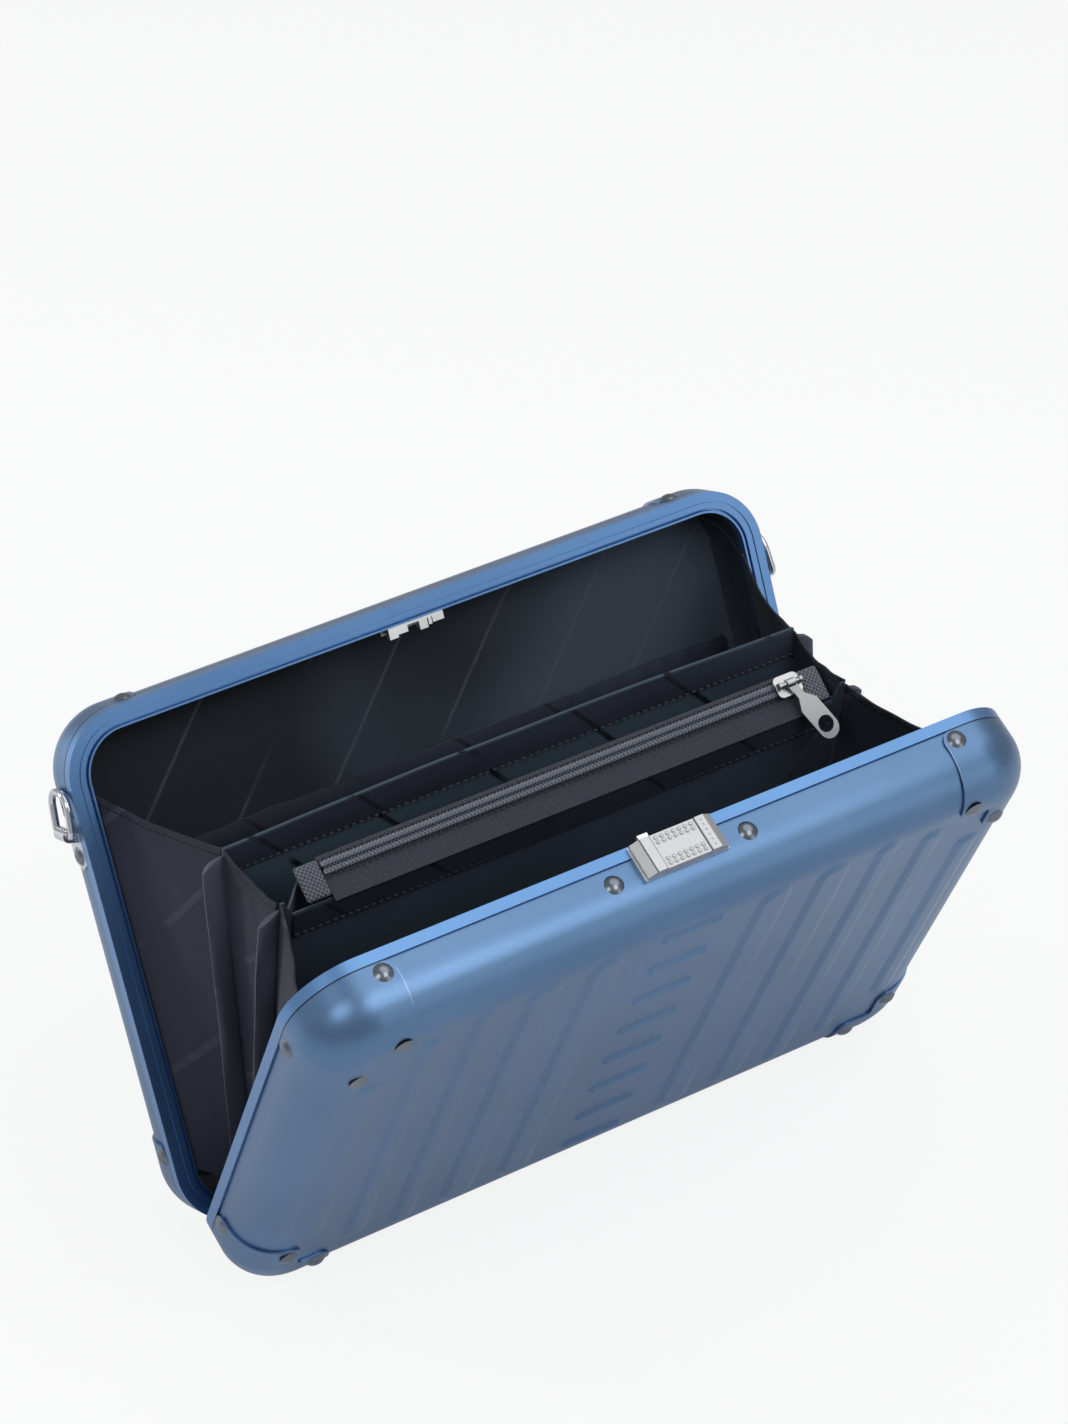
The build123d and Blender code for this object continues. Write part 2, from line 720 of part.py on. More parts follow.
# Thumb block: sloping ends, raised end bars and a studded middle panel
block_bottom = base_top + block_gap
block_top = block_bottom + block_height
block_depth = latch_reach - latch_start
ramp_end = latch_length / 2
with BuildPart() as latch_thumb_block:
    with BuildSketch(Plane(origin=on_face(front, 0, block_bottom, latch_start).origin,
                           x_dir=front.x_dir, z_dir=front.z_dir)):
        with BuildLine():
            Polyline((-ramp_end, 0), (ramp_end, 0), (ramp_end, ramp_foot),
                     (end_bar_outer + end_groove, block_height - end_groove),
                     (end_bar_outer, block_height - end_groove), (end_bar_outer, block_height),
                     (end_bar_inner, block_height), (end_bar_inner, block_height - panel_recess),
                     (-end_bar_inner, block_height - panel_recess),
                     (-end_bar_inner, block_height), (-end_bar_outer, block_height),
                     (-end_bar_outer, block_height - end_groove),
                     (-end_bar_outer - end_groove, block_height - end_groove),
                     (-ramp_end, ramp_foot), close=True)
        make_face()
    extrude(amount=block_depth)
    with BuildSketch(on_top(front, block_top - panel_recess, 0, latch_start + block_depth / 2)):
        for row in stud_rows:
            with Locations((0, row)):
                with GridLocations(stud_pitch, 1, stud_count, 1):
                    Circle(stud_radius)
    extrude(amount=stud_height)
    with BuildSketch(on_top(front, block_top, (end_bar_inner + end_bar_outer) / 2,
                            latch_start + block_depth / 2)):
        with GridLocations(1, bar_stud_pitch, 1, bar_stud_count):
            Circle(stud_radius)
    extrude(amount=-stud_height, mode=Mode.SUBTRACT)
save(latch_thumb_block.part, "latch_thumb_block")

# Claw: a stem down through the slot, an arm across the rim plane and a side tooth
arm_top = top_height - claw_top
with BuildPart() as latch_claw:
    with BuildSketch(on_top(front, block_bottom, claw_left + stem_length / 2, stem_depth)):
        Rectangle(stem_length, stem_wall)
    extrude(amount=-(block_bottom - arm_top + claw_height))
    arm_run = stem_depth + claw_reach
    with BuildSketch(on_top(front, arm_top, claw_left + arm_wall / 2,
                            stem_depth - arm_run / 2)):
        Rectangle(arm_wall, arm_run)
    extrude(amount=-claw_height)
    tooth_depth = claw_reach - tooth_start
    with BuildSketch(on_top(front, arm_top, claw_left + arm_wall + tooth_reach / 2,
                            -tooth_start - tooth_depth / 2)):
        Rectangle(tooth_reach, tooth_depth)
    extrude(amount=-claw_height)
save(latch_claw.part, "latch_claw")

# Catch in the back shell: a plate under the rim, blocks and two rods under the plate
catch_bottom = catch_top - catch_plate_wall
with BuildPart() as keeper_plate:
    with BuildSketch(on_top(back, catch_top, -(catch_left + catch_right) / 2,
                            (catch_start + catch_plate_depth) / 2)):
        Rectangle(catch_right - catch_left, catch_plate_depth - catch_start)
    extrude(amount=-catch_plate_wall)
    add(catch_hole, mode=Mode.SUBTRACT)
save(keeper_plate.part, "keeper_plate")
with BuildPart() as keeper_blocks:
    for left, right, drop in catch_blocks:
        with BuildSketch(on_top(back, catch_bottom, -(left + right) / 2,
                                catch_start + catch_block_depth / 2)):
            Rectangle(right - left, catch_block_depth)
        extrude(amount=-drop)
save(keeper_blocks.part, "keeper_blocks")
with BuildPart() as keeper_rods:
    for place in range(2):
        rod_height = catch_bottom - catch_rod_drop - place * catch_rod_pitch
        with BuildSketch(across(back, -catch_right, rod_height, catch_rod_depth)):
            Circle(catch_rod_radius)
        extrude(amount=catch_right - catch_left)
    for end_x in (catch_left, catch_right - 2 * catch_rod_radius):
        with BuildSketch(across(back, -end_x - 2 * catch_rod_radius,
                                catch_bottom - catch_rod_drop / 2 - catch_rod_pitch / 2,
                                catch_rod_depth)):
            Rectangle(catch_rod_drop + catch_rod_pitch, 2 * catch_rod_radius)
        extrude(amount=2 * catch_rod_radius)
save(keeper_rods.part, "keeper_rods")
save(rivet_group([catch_seat], flat_head_radius, flat_head_height, small_shank_radius),
     "keeper_rivet")

# Strap rings: a riveted bracket with a barrel, and a wire ring that swings in it
barrel_bore = ring_wire_radius + ring_clearance
barrel_radius = barrel_bore + barrel_wall
for side in (-1, 1):
    side_name = "right" if side * back.x_dir.X > 0 else "left"
    pivot = on_side(back, side, ring_wall + ring_stand_off, ring_height, ring_depth).origin
    # Looking along the ring's axis: x up the wall, y out of the wall on the left side
    end_view = Plane(origin=pivot - back.z_dir * (barrel_length / 2), x_dir=back.y_dir,
                     z_dir=back.z_dir)
    wall_y = side * ring_stand_off
    plate_y = side * (ring_stand_off - bracket_wall)
    with BuildPart() as bracket:
        with BuildSketch(on_side(back, side, ring_wall, ring_height, ring_depth)):
            with BuildLine():
                Polyline((0, -bracket_width / 2), (0, bracket_width / 2),
                         (-bracket_length + bracket_taper, bracket_width / 2),
                         (-bracket_length, 0),
                         (-bracket_length + bracket_taper, -bracket_width / 2), close=True)
            make_face()
        extrude(amount=bracket_wall)
        with BuildSketch(end_view):
            Circle(barrel_radius)
            with BuildLine():
                Polyline((-neck_length, wall_y), (0, wall_y), (barrel_radius, 0),
                         (-barrel_radius, 0), (-neck_length, plate_y), close=True)
            make_face()
            Circle(barrel_bore, mode=Mode.SUBTRACT)
        extrude(amount=barrel_length)
        add(ring_holes, mode=Mode.SUBTRACT)
    save(bracket.part, f"{side_name}_ring_bracket")

    lean_out = back.y_dir * cos(radians(ring_lean)) - back.x_dir * side * sin(radians(ring_lean))
    ring_plane = Plane(origin=pivot, x_dir=back.z_dir,
                       z_dir=back.z_dir.cross(lean_out))
    wire_side = ring_width / 2 - ring_wire_radius
    with BuildPart() as ring:
        with BuildLine(ring_plane) as wire_path:
            FilletPolyline((wire_side, 0), (wire_side, ring_length),
                           (-wire_side, ring_length), (-wire_side, 0), close=True,
                           radius=[ring_low_corner, ring_top_corner, ring_top_corner,
                                   ring_low_corner])
        with BuildSketch(Plane(origin=wire_path.line @ 0, z_dir=wire_path.line % 0)):
            Circle(ring_wire_radius)
        sweep()
    save(ring.part, f"{side_name}_ring")
save(rivet_group(ring_seats, rivet_head_radius, rivet_head_height, rivet_shank_radius),
     "ring_rivets")


def fabric_outline(half_width, top):
    """A sheet's outline with seam folds that stand out on both sides."""
    out = half_width + side_fold
    Polygon((-half_width, fabric_bottom), (half_width, fabric_bottom),
            (out, fabric_bottom + fold_start), (out, top - fold_end), (half_width, top),
            (-half_width, top), (-out, top - fold_end), (-out, fabric_bottom + fold_start),
            align=None)


# Divider and its folded hem
divider_front = -divider_offset
with BuildPart() as divider_board:
    with BuildSketch(divider.offset(divider_front - divider_wall)):
        fabric_outline(divider_width / 2, divider_top)
    extrude(amount=divider_wall)
save(divider_board.part, "divider_board")
with BuildPart() as divider_hem:
    with BuildSketch(divider.offset(divider_front)):
        with Locations((0, divider_top - hem_height / 2)):
            Rectangle(divider_width - 2 * hem_side_gap - gusset_wall, hem_height)
    extrude(amount=hem_wall)
save(divider_hem.part, "divider_hem")


def zip_line_radius(z, w):
    """Distance from the hinge axis to the sheet w off the zip's plane, z off the pocket's plane."""
    slope = radians(zip_slope)
    run = (-zip_back - z + w * sin(slope)) / cos(slope)
    return zip_radius + run * sin(slope) + w * cos(slope)


zip_up = (pocket.y_dir * cos(radians(zip_slope)) + pocket.z_dir * sin(radians(zip_slope)))
zip_plane = Plane(origin=pocket.origin + pocket.x_dir * zip_shift + pocket.y_dir * zip_radius
                  - pocket.z_dir * zip_back, x_dir=pocket.x_dir, z_dir=zip_up)

# Front wall of the zipped pocket: the zip tape covers its top edge, its corners rise past it
under_tape = -tape_wall / 2 - fabric_gap
wall_top = zip_line_radius(pocket_wall, under_tape)
half_pocket = pocket_width / 2
with BuildPart() as pocket_front_wall:
    with BuildSketch(pocket):
        fabric_outline(half_pocket, divider_top)
        with Locations((0, (wall_top + divider_top) / 2 + fold_end)):
            Rectangle(2 * pocket_corner_start, divider_top - wall_top + 2 * fold_end,
                      mode=Mode.SUBTRACT)
    extrude(amount=pocket_wall)
save(pocket_front_wall.part, "pocket_front_wall")
hem_top = zip_line_radius(pocket_wall + hem_wall, under_tape)
with BuildPart() as pocket_hem:
    with BuildSketch(pocket.offset(pocket_wall)):
        with Locations((0, hem_top - hem_height / 2)):
            Rectangle(pocket_width - 2 * hem_side_gap - gusset_wall, hem_height)
    extrude(amount=hem_wall)
save(pocket_hem.part, "pocket_hem")

# Back wall of the pocket: swells towards the divider from its foot to the zip
with BuildPart() as pocket_back_wall:
    for radius, bulge in ((pocket_bulge_start, pocket_bulge_bottom), (zip_radius, pocket_bulge)):
        with BuildSketch(Plane(origin=pocket.origin + pocket.y_dir * radius,
                               x_dir=pocket.x_dir, z_dir=pocket.y_dir)):
            with BuildLine():
                flat = half_pocket - pocket_shoulder
                Polyline((-half_pocket, 0), (-flat, bulge), (flat, bulge), (half_pocket, 0),
                         (half_pocket - pocket_wall, 0), (flat, bulge - pocket_wall),
                         (-flat, bulge - pocket_wall), (-half_pocket + pocket_wall, 0),
                         close=True)
            make_face()
    loft(ruled=True)
    with BuildSketch(zip_plane.offset(-tape_wall / 2 - slider_clearance - slider_wall
                                      - 2 * fabric_gap)):
        Rectangle(2 * case_width, case_width)
    extrude(amount=case_width, mode=Mode.SUBTRACT)
save(pocket_back_wall.part, "pocket_back_wall")

# Zip tapes. The back one folds down outside the back wall
half_tape = tape_wall / 2
with BuildPart() as zip_front_tape:
    with BuildSketch(zip_plane.offset(-half_tape)):
        with Locations((0, -(front_tape + tape_parting) / 2)):
            Rectangle(2 * tab_start, front_tape - tape_parting)
    extrude(amount=tape_wall)
save(zip_front_tape.part, "zip_front_tape")
fold_z = -pocket_bulge - fabric_gap - tape_wall
fold_v = (-zip_back - fold_z) / cos(radians(zip_slope))
with BuildPart() as zip_back_tape:
    with BuildSketch(zip_plane.offset(-half_tape)):
        with Locations((0, (fold_v + tape_parting) / 2)):
            Rectangle(2 * tab_start, fold_v - tape_parting)
    extrude(amount=tape_wall)
    fold_top = zip_line_radius(fold_z, 0)
    with BuildSketch(pocket.offset(fold_z)):
        with Locations((zip_shift, fold_top - tape_fold / 2)):
            Rectangle(2 * tab_start, tape_fold)
    extrude(amount=tape_wall)
save(zip_back_tape.part, "zip_back_tape")

# Two rows of zip coils on the tapes, drawn as plain bars
with BuildPart() as zip_coils:
    with BuildSketch(zip_plane.offset(half_tape)):
        for row in (-1, 1):
            with Locations((0, row * (tape_parting + coil_width / 2))):
                Rectangle(2 * tab_start, coil_width)
    extrude(amount=coil_height)
save(zip_coils.part, "zip_coils")

# Webbing tabs folded over both ends of the tapes
with BuildPart() as zip_end_tabs:
    with BuildSketch(zip_plane.offset(-tab_low)):
        for row in (-1, 1):
            with Locations((row * (tab_start + tab_gap + tab_length / 2),
                            (tab_back - tab_front) / 2)):
                Rectangle(tab_length, tab_back + tab_front)
    extrude(amount=tab_low + tab_high)
save(zip_end_tabs.part, "zip_end_tabs")

# Zip slider: two plates joined by a post between the coils, and a bridge for the pull
plate_low = half_tape + coil_height + slider_clearance
plate_high = plate_low + slider_wall
lower_top = -half_tape - slider_clearance - post_wall / 2
pull_barrel_radius = bridge_radius + bridge_clearance + pull_barrel_wall
bridge_height = plate_high + pull_barrel_radius + pull_lift
slider_plane = Plane(origin=zip_plane.origin + zip_plane.x_dir * slider_rest,
                     x_dir=zip_plane.x_dir, z_dir=zip_plane.z_dir)
with BuildPart() as zip_slider:
    with BuildSketch(slider_plane.offset(plate_low)):
        RectangleRounded(slider_length, slider_width, slider_width / 4)
    extrude(amount=slider_wall)
    with BuildSketch(slider_plane.offset(plate_low)):
        for row in (-1, 1):
            with Locations((0, row * (slider_width - slider_flange) / 2)):
                Rectangle(slider_length - slider_width / 2, slider_flange)
    extrude(amount=-(plate_low - flange_foot))
    with BuildSketch(slider_plane.offset(lower_top - slider_wall)):
        RectangleRounded(slider_length, slider_lower_width, slider_lower_width / 4)
    extrude(amount=slider_wall)
    with BuildSketch(slider_plane.offset(lower_top)):
        Rectangle(post_length, post_wall)
    extrude(amount=plate_low - lower_top)
    for row in (-1, 1):
        ear_start = row * (bridge_length + ear_wall) / 2 - ear_wall / 2
        with BuildSketch(across(slider_plane, ear_start, 0, bridge_height)):
            Circle(ear_radius)
            with Locations((0, -(bridge_height - plate_high) / 2)):
                Rectangle(2 * ear_radius, bridge_height - plate_high)
        extrude(amount=ear_wall)
    with BuildSketch(across(slider_plane, -bridge_length / 2, 0, bridge_height)):
        Circle(bridge_radius)
    extrude(amount=bridge_length)
save(zip_slider.part, "zip_slider")

# Zip pull: a flat tab with an eye, hung from the bridge
pivot = slider_plane.origin + slider_plane.z_dir * bridge_height
down_front = Vector(0, -cos(radians(pull_slope)), -sin(radians(pull_slope)))
out_front = Vector(0, -sin(radians(pull_slope)), cos(radians(pull_slope)))
pull_line = down_front * cos(radians(pull_yaw)) + Vector(sin(radians(pull_yaw)), 0, 0)
pull_plane = Plane(origin=pivot - out_front * (pull_wall / 2), x_dir=pull_line, z_dir=out_front)
with BuildPart() as zip_pull:
    with BuildSketch(pull_plane):
        with BuildLine():
            round_start = pull_length - pull_width / 2
            Polyline((round_start, -pull_width / 2), (pull_shoulder, -pull_width / 2),
                     (pull_neck_length, -pull_neck_width / 2), (0, -pull_neck_width / 2),
                     (0, pull_neck_width / 2), (pull_neck_length, pull_neck_width / 2),
                     (pull_shoulder, pull_width / 2), (round_start, pull_width / 2))
            ThreePointArc((round_start, pull_width / 2), (pull_length, 0),
                          (round_start, -pull_width / 2))
        make_face()
        with Locations((pull_eye_place, 0)):
            Circle(pull_eye_radius, mode=Mode.SUBTRACT)
    extrude(amount=pull_wall)
    barrel_plane = Plane(origin=pivot - pocket.x_dir * (pull_barrel_length / 2),
                         x_dir=(0, 1, 0), z_dir=(1, 0, 0))
    with BuildSketch(barrel_plane):
        Circle(pull_barrel_radius)
    extrude(amount=pull_barrel_length)
    with BuildSketch(barrel_plane.offset(-pull_width)):
        Circle(bridge_radius + bridge_clearance)
    extrude(amount=3 * pull_width, mode=Mode.SUBTRACT)
save(zip_pull.part, "zip_pull")


def gusset(side, first, second):
    """Pleat on one side between two planes. Each end is a plane, its distance from mid width
    and the radii of its bottom and top."""
    with BuildPart() as pleat:
        for plane, reach, bottom, top in (first, second):
            with BuildSketch(plane):
                with Locations((side * (reach - gusset_wall / 2), (bottom + top) / 2)):
                    Rectangle(gusset_wall, top - bottom)
        loft(ruled=True)
    return pleat.part


# Side gussets between the rims, the divider and the pocket
rim_reach = band_side - gusset_side_gap
rim_bottom = axis_drop + corner_radius + gusset_corner_gap
rim_run = (rim_reach, rim_bottom, gusset_rim_top)
board_run = (divider_width / 2, gusset_bottom, gusset_top)
behind_pocket = (half_pocket + gusset_wall + fabric_gap, gusset_bottom, gusset_top)
before_pocket = (half_pocket, gusset_bottom, gusset_top)
front_rim = leaning_plane(-half_angle)
gusset_ends = (
    ("gusset_back", (back_rim.offset(-gusset_rim_depth),) + rim_run,
     (divider.offset(divider_front - divider_wall - fabric_gap),) + board_run),
    ("gusset_middle", (divider.offset(divider_front + fabric_gap),) + board_run,
     (pocket.offset(-fabric_gap),) + behind_pocket),
    ("gusset_front", (pocket.offset(pocket_wall + fabric_gap),) + before_pocket,
     (front_rim.offset(gusset_rim_depth),) + rim_run))
for name, first, second in gusset_ends:
    for side, side_name in ((-1, "left"), (1, "right")):
        save(gusset(side, first, second), f"{side_name}_{name}")

# Fabric strip over the hinge, from rim to rim
strip_reach = case_width / 2 - corner_radius - gusset_corner_gap
strip_bottom = axis_drop + band_width + strip_seat
with BuildPart() as floor_strip:
    for plane in (back_rim.offset(-strip_depth), front_rim.offset(strip_depth)):
        with BuildSketch(plane):
            with Locations((0, strip_bottom + strip_wall / 2)):
                Rectangle(2 * strip_reach, strip_wall)
    loft(ruled=True)
save(floor_strip.part, "floor_strip")
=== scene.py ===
# %% [markdown]
# # A vanity case standing open
#
# The case is two pressed aluminium shells, hinged along the bottom, with fabric walls folded
# between them. The metal was drawn in CAD and comes in as a fixed frame. What is left for
# Blender is the cloth, the zip, the finishes and the light, and that is what this lesson makes.

# %% Load the fixed frame
import json
import math
import bmesh
import bpy
from mathutils import Matrix, Vector


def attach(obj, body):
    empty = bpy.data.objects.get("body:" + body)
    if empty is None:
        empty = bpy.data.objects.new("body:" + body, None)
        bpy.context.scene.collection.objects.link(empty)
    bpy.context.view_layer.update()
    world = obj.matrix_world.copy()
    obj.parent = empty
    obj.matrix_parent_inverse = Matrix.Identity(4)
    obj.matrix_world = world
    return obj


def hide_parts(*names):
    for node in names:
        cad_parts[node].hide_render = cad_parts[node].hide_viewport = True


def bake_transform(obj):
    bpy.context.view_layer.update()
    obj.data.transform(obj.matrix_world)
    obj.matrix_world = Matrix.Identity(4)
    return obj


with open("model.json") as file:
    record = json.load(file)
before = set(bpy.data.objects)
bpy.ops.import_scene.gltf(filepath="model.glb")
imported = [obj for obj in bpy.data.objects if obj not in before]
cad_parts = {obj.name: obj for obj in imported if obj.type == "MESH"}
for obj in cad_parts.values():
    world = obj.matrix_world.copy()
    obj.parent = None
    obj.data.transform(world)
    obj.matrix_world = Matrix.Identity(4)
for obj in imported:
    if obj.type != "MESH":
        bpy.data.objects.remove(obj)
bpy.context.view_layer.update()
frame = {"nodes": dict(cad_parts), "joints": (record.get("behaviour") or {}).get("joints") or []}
nodes = frame["nodes"]
print("metal and cloth nodes:", len(nodes))

# %% [markdown]
# ## Sizes
#
# Everything is in metres. The hinge axis runs along X, a little above the floor. Each cloth
# part but the side walls and the strip is drawn standing upright on that axis, with Y towards
# the back shell, and is then leant over by its own angle, as such pockets really open.

# %% Sizes taken from the frame
MM = 0.001
hinge = next(joint for joint in frame["joints"] if joint["name"] == "shell_hinge")
axis_height = hinge["pos_m"][2]
half_angle = 48.7 / 2
back_lean = half_angle
front_lean = -half_angle
divider_lean = 4.1
pocket_lean = -7.9
print("hinge axis at", axis_height)

# %% [markdown]
# ## The camera first
#
# A product photograph is matched before anything is modelled, so that each later render can
# be laid over it. The place, the direction and the lens were worked out from the rivets, the
# straight edges and the outline of the case in the picture. The lens is long, so lines hardly
# converge.

# %% Camera at the photograph's angle
camera_place = (-0.6863, -1.0917, 1.1425 + axis_height)
right = Vector((0.8441, -0.5362, -0.0071))
up = Vector((0.324, 0.4994, 0.8035))
behind = right.cross(up)
lens_mm, sensor_mm = 111.47, 36

bpy.ops.object.select_all(action="DESELECT")
bpy.ops.object.camera_add(location=camera_place)
camera = bpy.context.object
camera.matrix_world = Matrix.Translation(camera.location) @ Matrix(
    (right, up, behind)).transposed().to_4x4()
camera.data.lens = lens_mm
camera.data.sensor_width = sensor_mm
bpy.context.scene.camera = camera
print("camera at", tuple(round(c, 3) for c in camera.location))

# %% [markdown]
# ## Studio light
#
# Satin metal shows what stands around it, so each lamp is put where one wall mirrors it. A wide
# lamp overhead, a little to the right, serves the top walls, and one low in front on the right
# the back rim. One high in front fills the face and the inside, and one in front on the left
# gives the round corner its glint. A small lamp low behind on the left edges that side, with
# only a faint shadow. The world is dim, and whiter in mirrors, so that metal shows the backdrop.

# %% Lamps, floor and world
def soft_lamp(name, place, target, size, power):
    bpy.ops.object.light_add(type="AREA", location=place)
    lamp = bpy.context.object
    lamp.name = name
    lamp.data.shape = "DISK"
    lamp.data.size = size
    lamp.data.energy = power
    lamp.rotation_euler = (Vector(target) - Vector(place)).to_track_quat("-Z", "Y").to_euler()


case_middle = (0, 0, 0.1)
sky_colour, sky_strength = (0.8, 0.82, 0.85, 1), 0.33
white_in_mirrors, white_through_glass = 0.3, 1.0
soft_lamp("lamp_overhead", (0.5, 0.0, 1.35), case_middle, 1.5, 6.0)
soft_lamp("lamp_back_left", (-0.99, 1.03, 0.56), case_middle, 0.22, 7.0)
soft_lamp("lamp_front_left", (-0.80, -0.47, 1.0), case_middle, 0.6, 2.0)
soft_lamp("lamp_front", (0.35, -1.0, 1.3), case_middle, 0.9, 5.0)
soft_lamp("lamp_front_right", (0.75, -1.35, 0.42), case_middle, 0.9, 1.7)

bpy.context.scene.view_settings.view_transform = "Standard"
world = bpy.data.worlds.new("studio")
bpy.context.scene.world = world
world.use_nodes = True
world_nodes = world.node_tree
background = world_nodes.nodes["Background"]
background.inputs["Color"].default_value = sky_colour
background.inputs["Strength"].default_value = sky_strength
white = world_nodes.nodes.new("ShaderNodeBackground")
white.inputs["Strength"].default_value = 1.0
rays = world_nodes.nodes.new("ShaderNodeLightPath")
swap = world_nodes.nodes.new("ShaderNodeMixShader")
white_share = rays.outputs["Is Camera Ray"]
for kind, share in (("Is Glossy Ray", white_in_mirrors),
                    ("Is Transmission Ray", white_through_glass)):
    more = world_nodes.nodes.new("ShaderNodeMath")
    more.operation = "MULTIPLY_ADD"
    more.inputs[1].default_value = share
    world_nodes.links.new(rays.outputs[kind], more.inputs[0])
    world_nodes.links.new(white_share, more.inputs[2])
    white_share = more.outputs[0]
world_nodes.links.new(white_share, swap.inputs[0])
world_nodes.links.new(background.outputs[0], swap.inputs[1])
world_nodes.links.new(white.outputs[0], swap.inputs[2])
world_nodes.links.new(swap.outputs[0], world_nodes.nodes["World Output"].inputs["Surface"])

bpy.ops.mesh.primitive_plane_add(size=12, location=(0, 0, 0))
floor = bpy.context.object
floor.name = "floor"
print("lamps, floor and world are in place")

# %% [markdown]
# ## Shader sums written as Python
#
# A weave or a brushed grain is a sum over the surface's coordinates. Wiring every Math node by
# hand is slow to read, so a small class wraps a socket and turns + - * / into nodes. One
# method, `node`, adds any other kind of node.

# %% A socket that does sums
class Wire:
    """A value on its way through a material. Sums with it add Math nodes."""

    def __init__(self, finish, socket):
        self.finish = finish
        self.socket = socket

    def __add__(self, other):
        return self.finish.maths("ADD", self, other)

    def __sub__(self, other):
        return self.finish.maths("SUBTRACT", self, other)

    def __rsub__(self, other):
        return self.finish.maths("SUBTRACT", other, self)

    def __mul__(self, other):
        return self.finish.maths("MULTIPLY", self, other)

    def __truediv__(self, other):
        return self.finish.maths("DIVIDE", self, other)

    __radd__ = __add__
    __rmul__ = __mul__


class Finish:
    """One material: a Principled shader and the nodes that feed it."""

    def __init__(self, name, **constants):
        self.material = bpy.data.materials.new(name)
        self.material.use_nodes = True
        self.tree = self.material.node_tree
        self.shader = self.tree.nodes["Principled BSDF"]
        for socket, value in constants.items():
            self.shader.inputs[socket.replace("_", " ")].default_value = value

    def node(self, kind, settings, inputs, output=0):
        """Adds a node: its settings first, then values or wires for its sockets."""
        made = self.tree.nodes.new(kind)
        for key, value in settings.items():
            if key == "stops":
                ramp = made.color_ramp.elements
                while len(ramp) < len(value):
                    ramp.new(0.5)
                for element, (place, shade) in zip(ramp, value):
                    element.position = place
                    element.color = (shade, shade, shade, 1)
            else:
                setattr(made, key, value)
        for key, value in inputs.items():
            if isinstance(value, Wire):
                self.tree.links.new(value.socket, made.inputs[key])
            else:
                made.inputs[key].default_value = value
        return Wire(self, made.outputs[output])

    def maths(self, operation, first, second=0.0):
        return self.node("ShaderNodeMath", {"operation": operation}, {0: first, 1: second})

    def place(self):
        """Object coordinates, which stay with the piece when it moves."""
        return self.node("ShaderNodeTexCoord", {}, {}, "Object")

    def along_cloth(self):
        """The cloth's own coordinates in metres, kept in its UV map."""
        return self.node("ShaderNodeUVMap", {"uv_map": "UVMap"}, {})

    def split(self, vector):
        return [self.node("ShaderNodeSeparateXYZ", {}, {0: vector}, k) for k in range(3)]

    def noise(self, vector, scale, detail=2.0, roughness=0.5):
        return self.node("ShaderNodeTexNoise", {}, {"Vector": vector, "Scale": scale,
                         "Detail": detail, "Roughness": roughness}, "Fac")

    def fade(self, value, low, high):
        """0 below low, 1 above high, smooth between them."""
        return self.node("ShaderNodeMapRange", {"interpolation_type": "SMOOTHSTEP"},
                         {"Value": value, "From Min": low, "From Max": high})

    def blend_colours(self, factor, first, second):
        return self.node("ShaderNodeMix", {"data_type": "RGBA"},
                         {0: factor, 6: first, 7: second}, 2)

    def feed(self, socket, wire):
        self.tree.links.new(wire.socket, self.shader.inputs[socket])

    def bump(self, height, distance, strength=1.0):
        self.feed("Normal", self.node("ShaderNodeBump", {}, {
            "Height": height, "Distance": distance, "Strength": strength}))


print("sums in materials are ready")

# %% [markdown]
# ## The floor
#
# The floor is pale and keeps the case's shadow. Seen straight by the camera it is lifted to
# white, so that its colour, and not more light, makes the background plain.

# %% Floor finish
floor_white, floor_white_in_mirrors = 0.86, 0.10
floor_finish = Finish("pale_floor", Base_Color=(0.86, 0.87, 0.89, 1))
floor_grain = floor_finish.noise(floor_finish.place(), 40.0)
floor_finish.feed("Roughness", floor_grain * 0.1 + 0.8)
seen = floor_finish.node("ShaderNodeLightPath", {}, {}, "Is Camera Ray")
mirrored = floor_finish.node("ShaderNodeLightPath", {}, {}, "Is Glossy Ray")
through = floor_finish.node("ShaderNodeLightPath", {}, {}, "Is Transmission Ray")
glow = floor_finish.node("ShaderNodeEmission", {}, {"Strength": 1.0})
shaded = Wire(floor_finish, floor_finish.shader.outputs[0])
lifted = floor_finish.node("ShaderNodeMixShader", {},
                           {0: (seen * floor_white + mirrored * floor_white_in_mirrors
                                + through * floor_white), 1: shaded, 2: glow})
floor_finish.tree.links.new(lifted.socket,
                            floor_finish.tree.nodes["Material Output"].inputs["Surface"])
floor.data.materials.append(floor_finish.material)
print("floor finish made")

# %% [markdown]
# ## Anodised aluminium
#
# The shells are bead-blasted and dyed blue. That gives a fine grain that spreads highlights,
# and a colour that sits in the metal, so it tints the reflections. The grain is a bump from a
# tiny noise, and wide, weak clouds in the roughness stand for handling. A cap's edge catching
# the light, and the shadow in the seam between it and the rim, are too fine to model, so they
# are painted here: a pale hairline of painted highlight on the walls, and a dark line of painted
# shadow along the rim.

# %% Blue shells, rims and caps
shell_blue, rim_blue = (0.098, 0.193, 0.345), (0.114, 0.256, 0.50)
# A pale colour of painted highlight for a cap's end, and a dark one of painted shadow for its
# seam.
painted_highlight_colour, seam_shadow = (0.50, 0.62, 0.80, 1), (0.006, 0.012, 0.025, 1)
satin = 0.37                            # roughness of the blasted metal
cap_end = 115.5 * MM                    # where a cap stops on the top and bottom walls
cap_start = 4.8 * MM                    # and where it starts behind the rim plane
wall_end, face_start = 21 * MM, 24 * MM     # depths between which a wall turns into the face


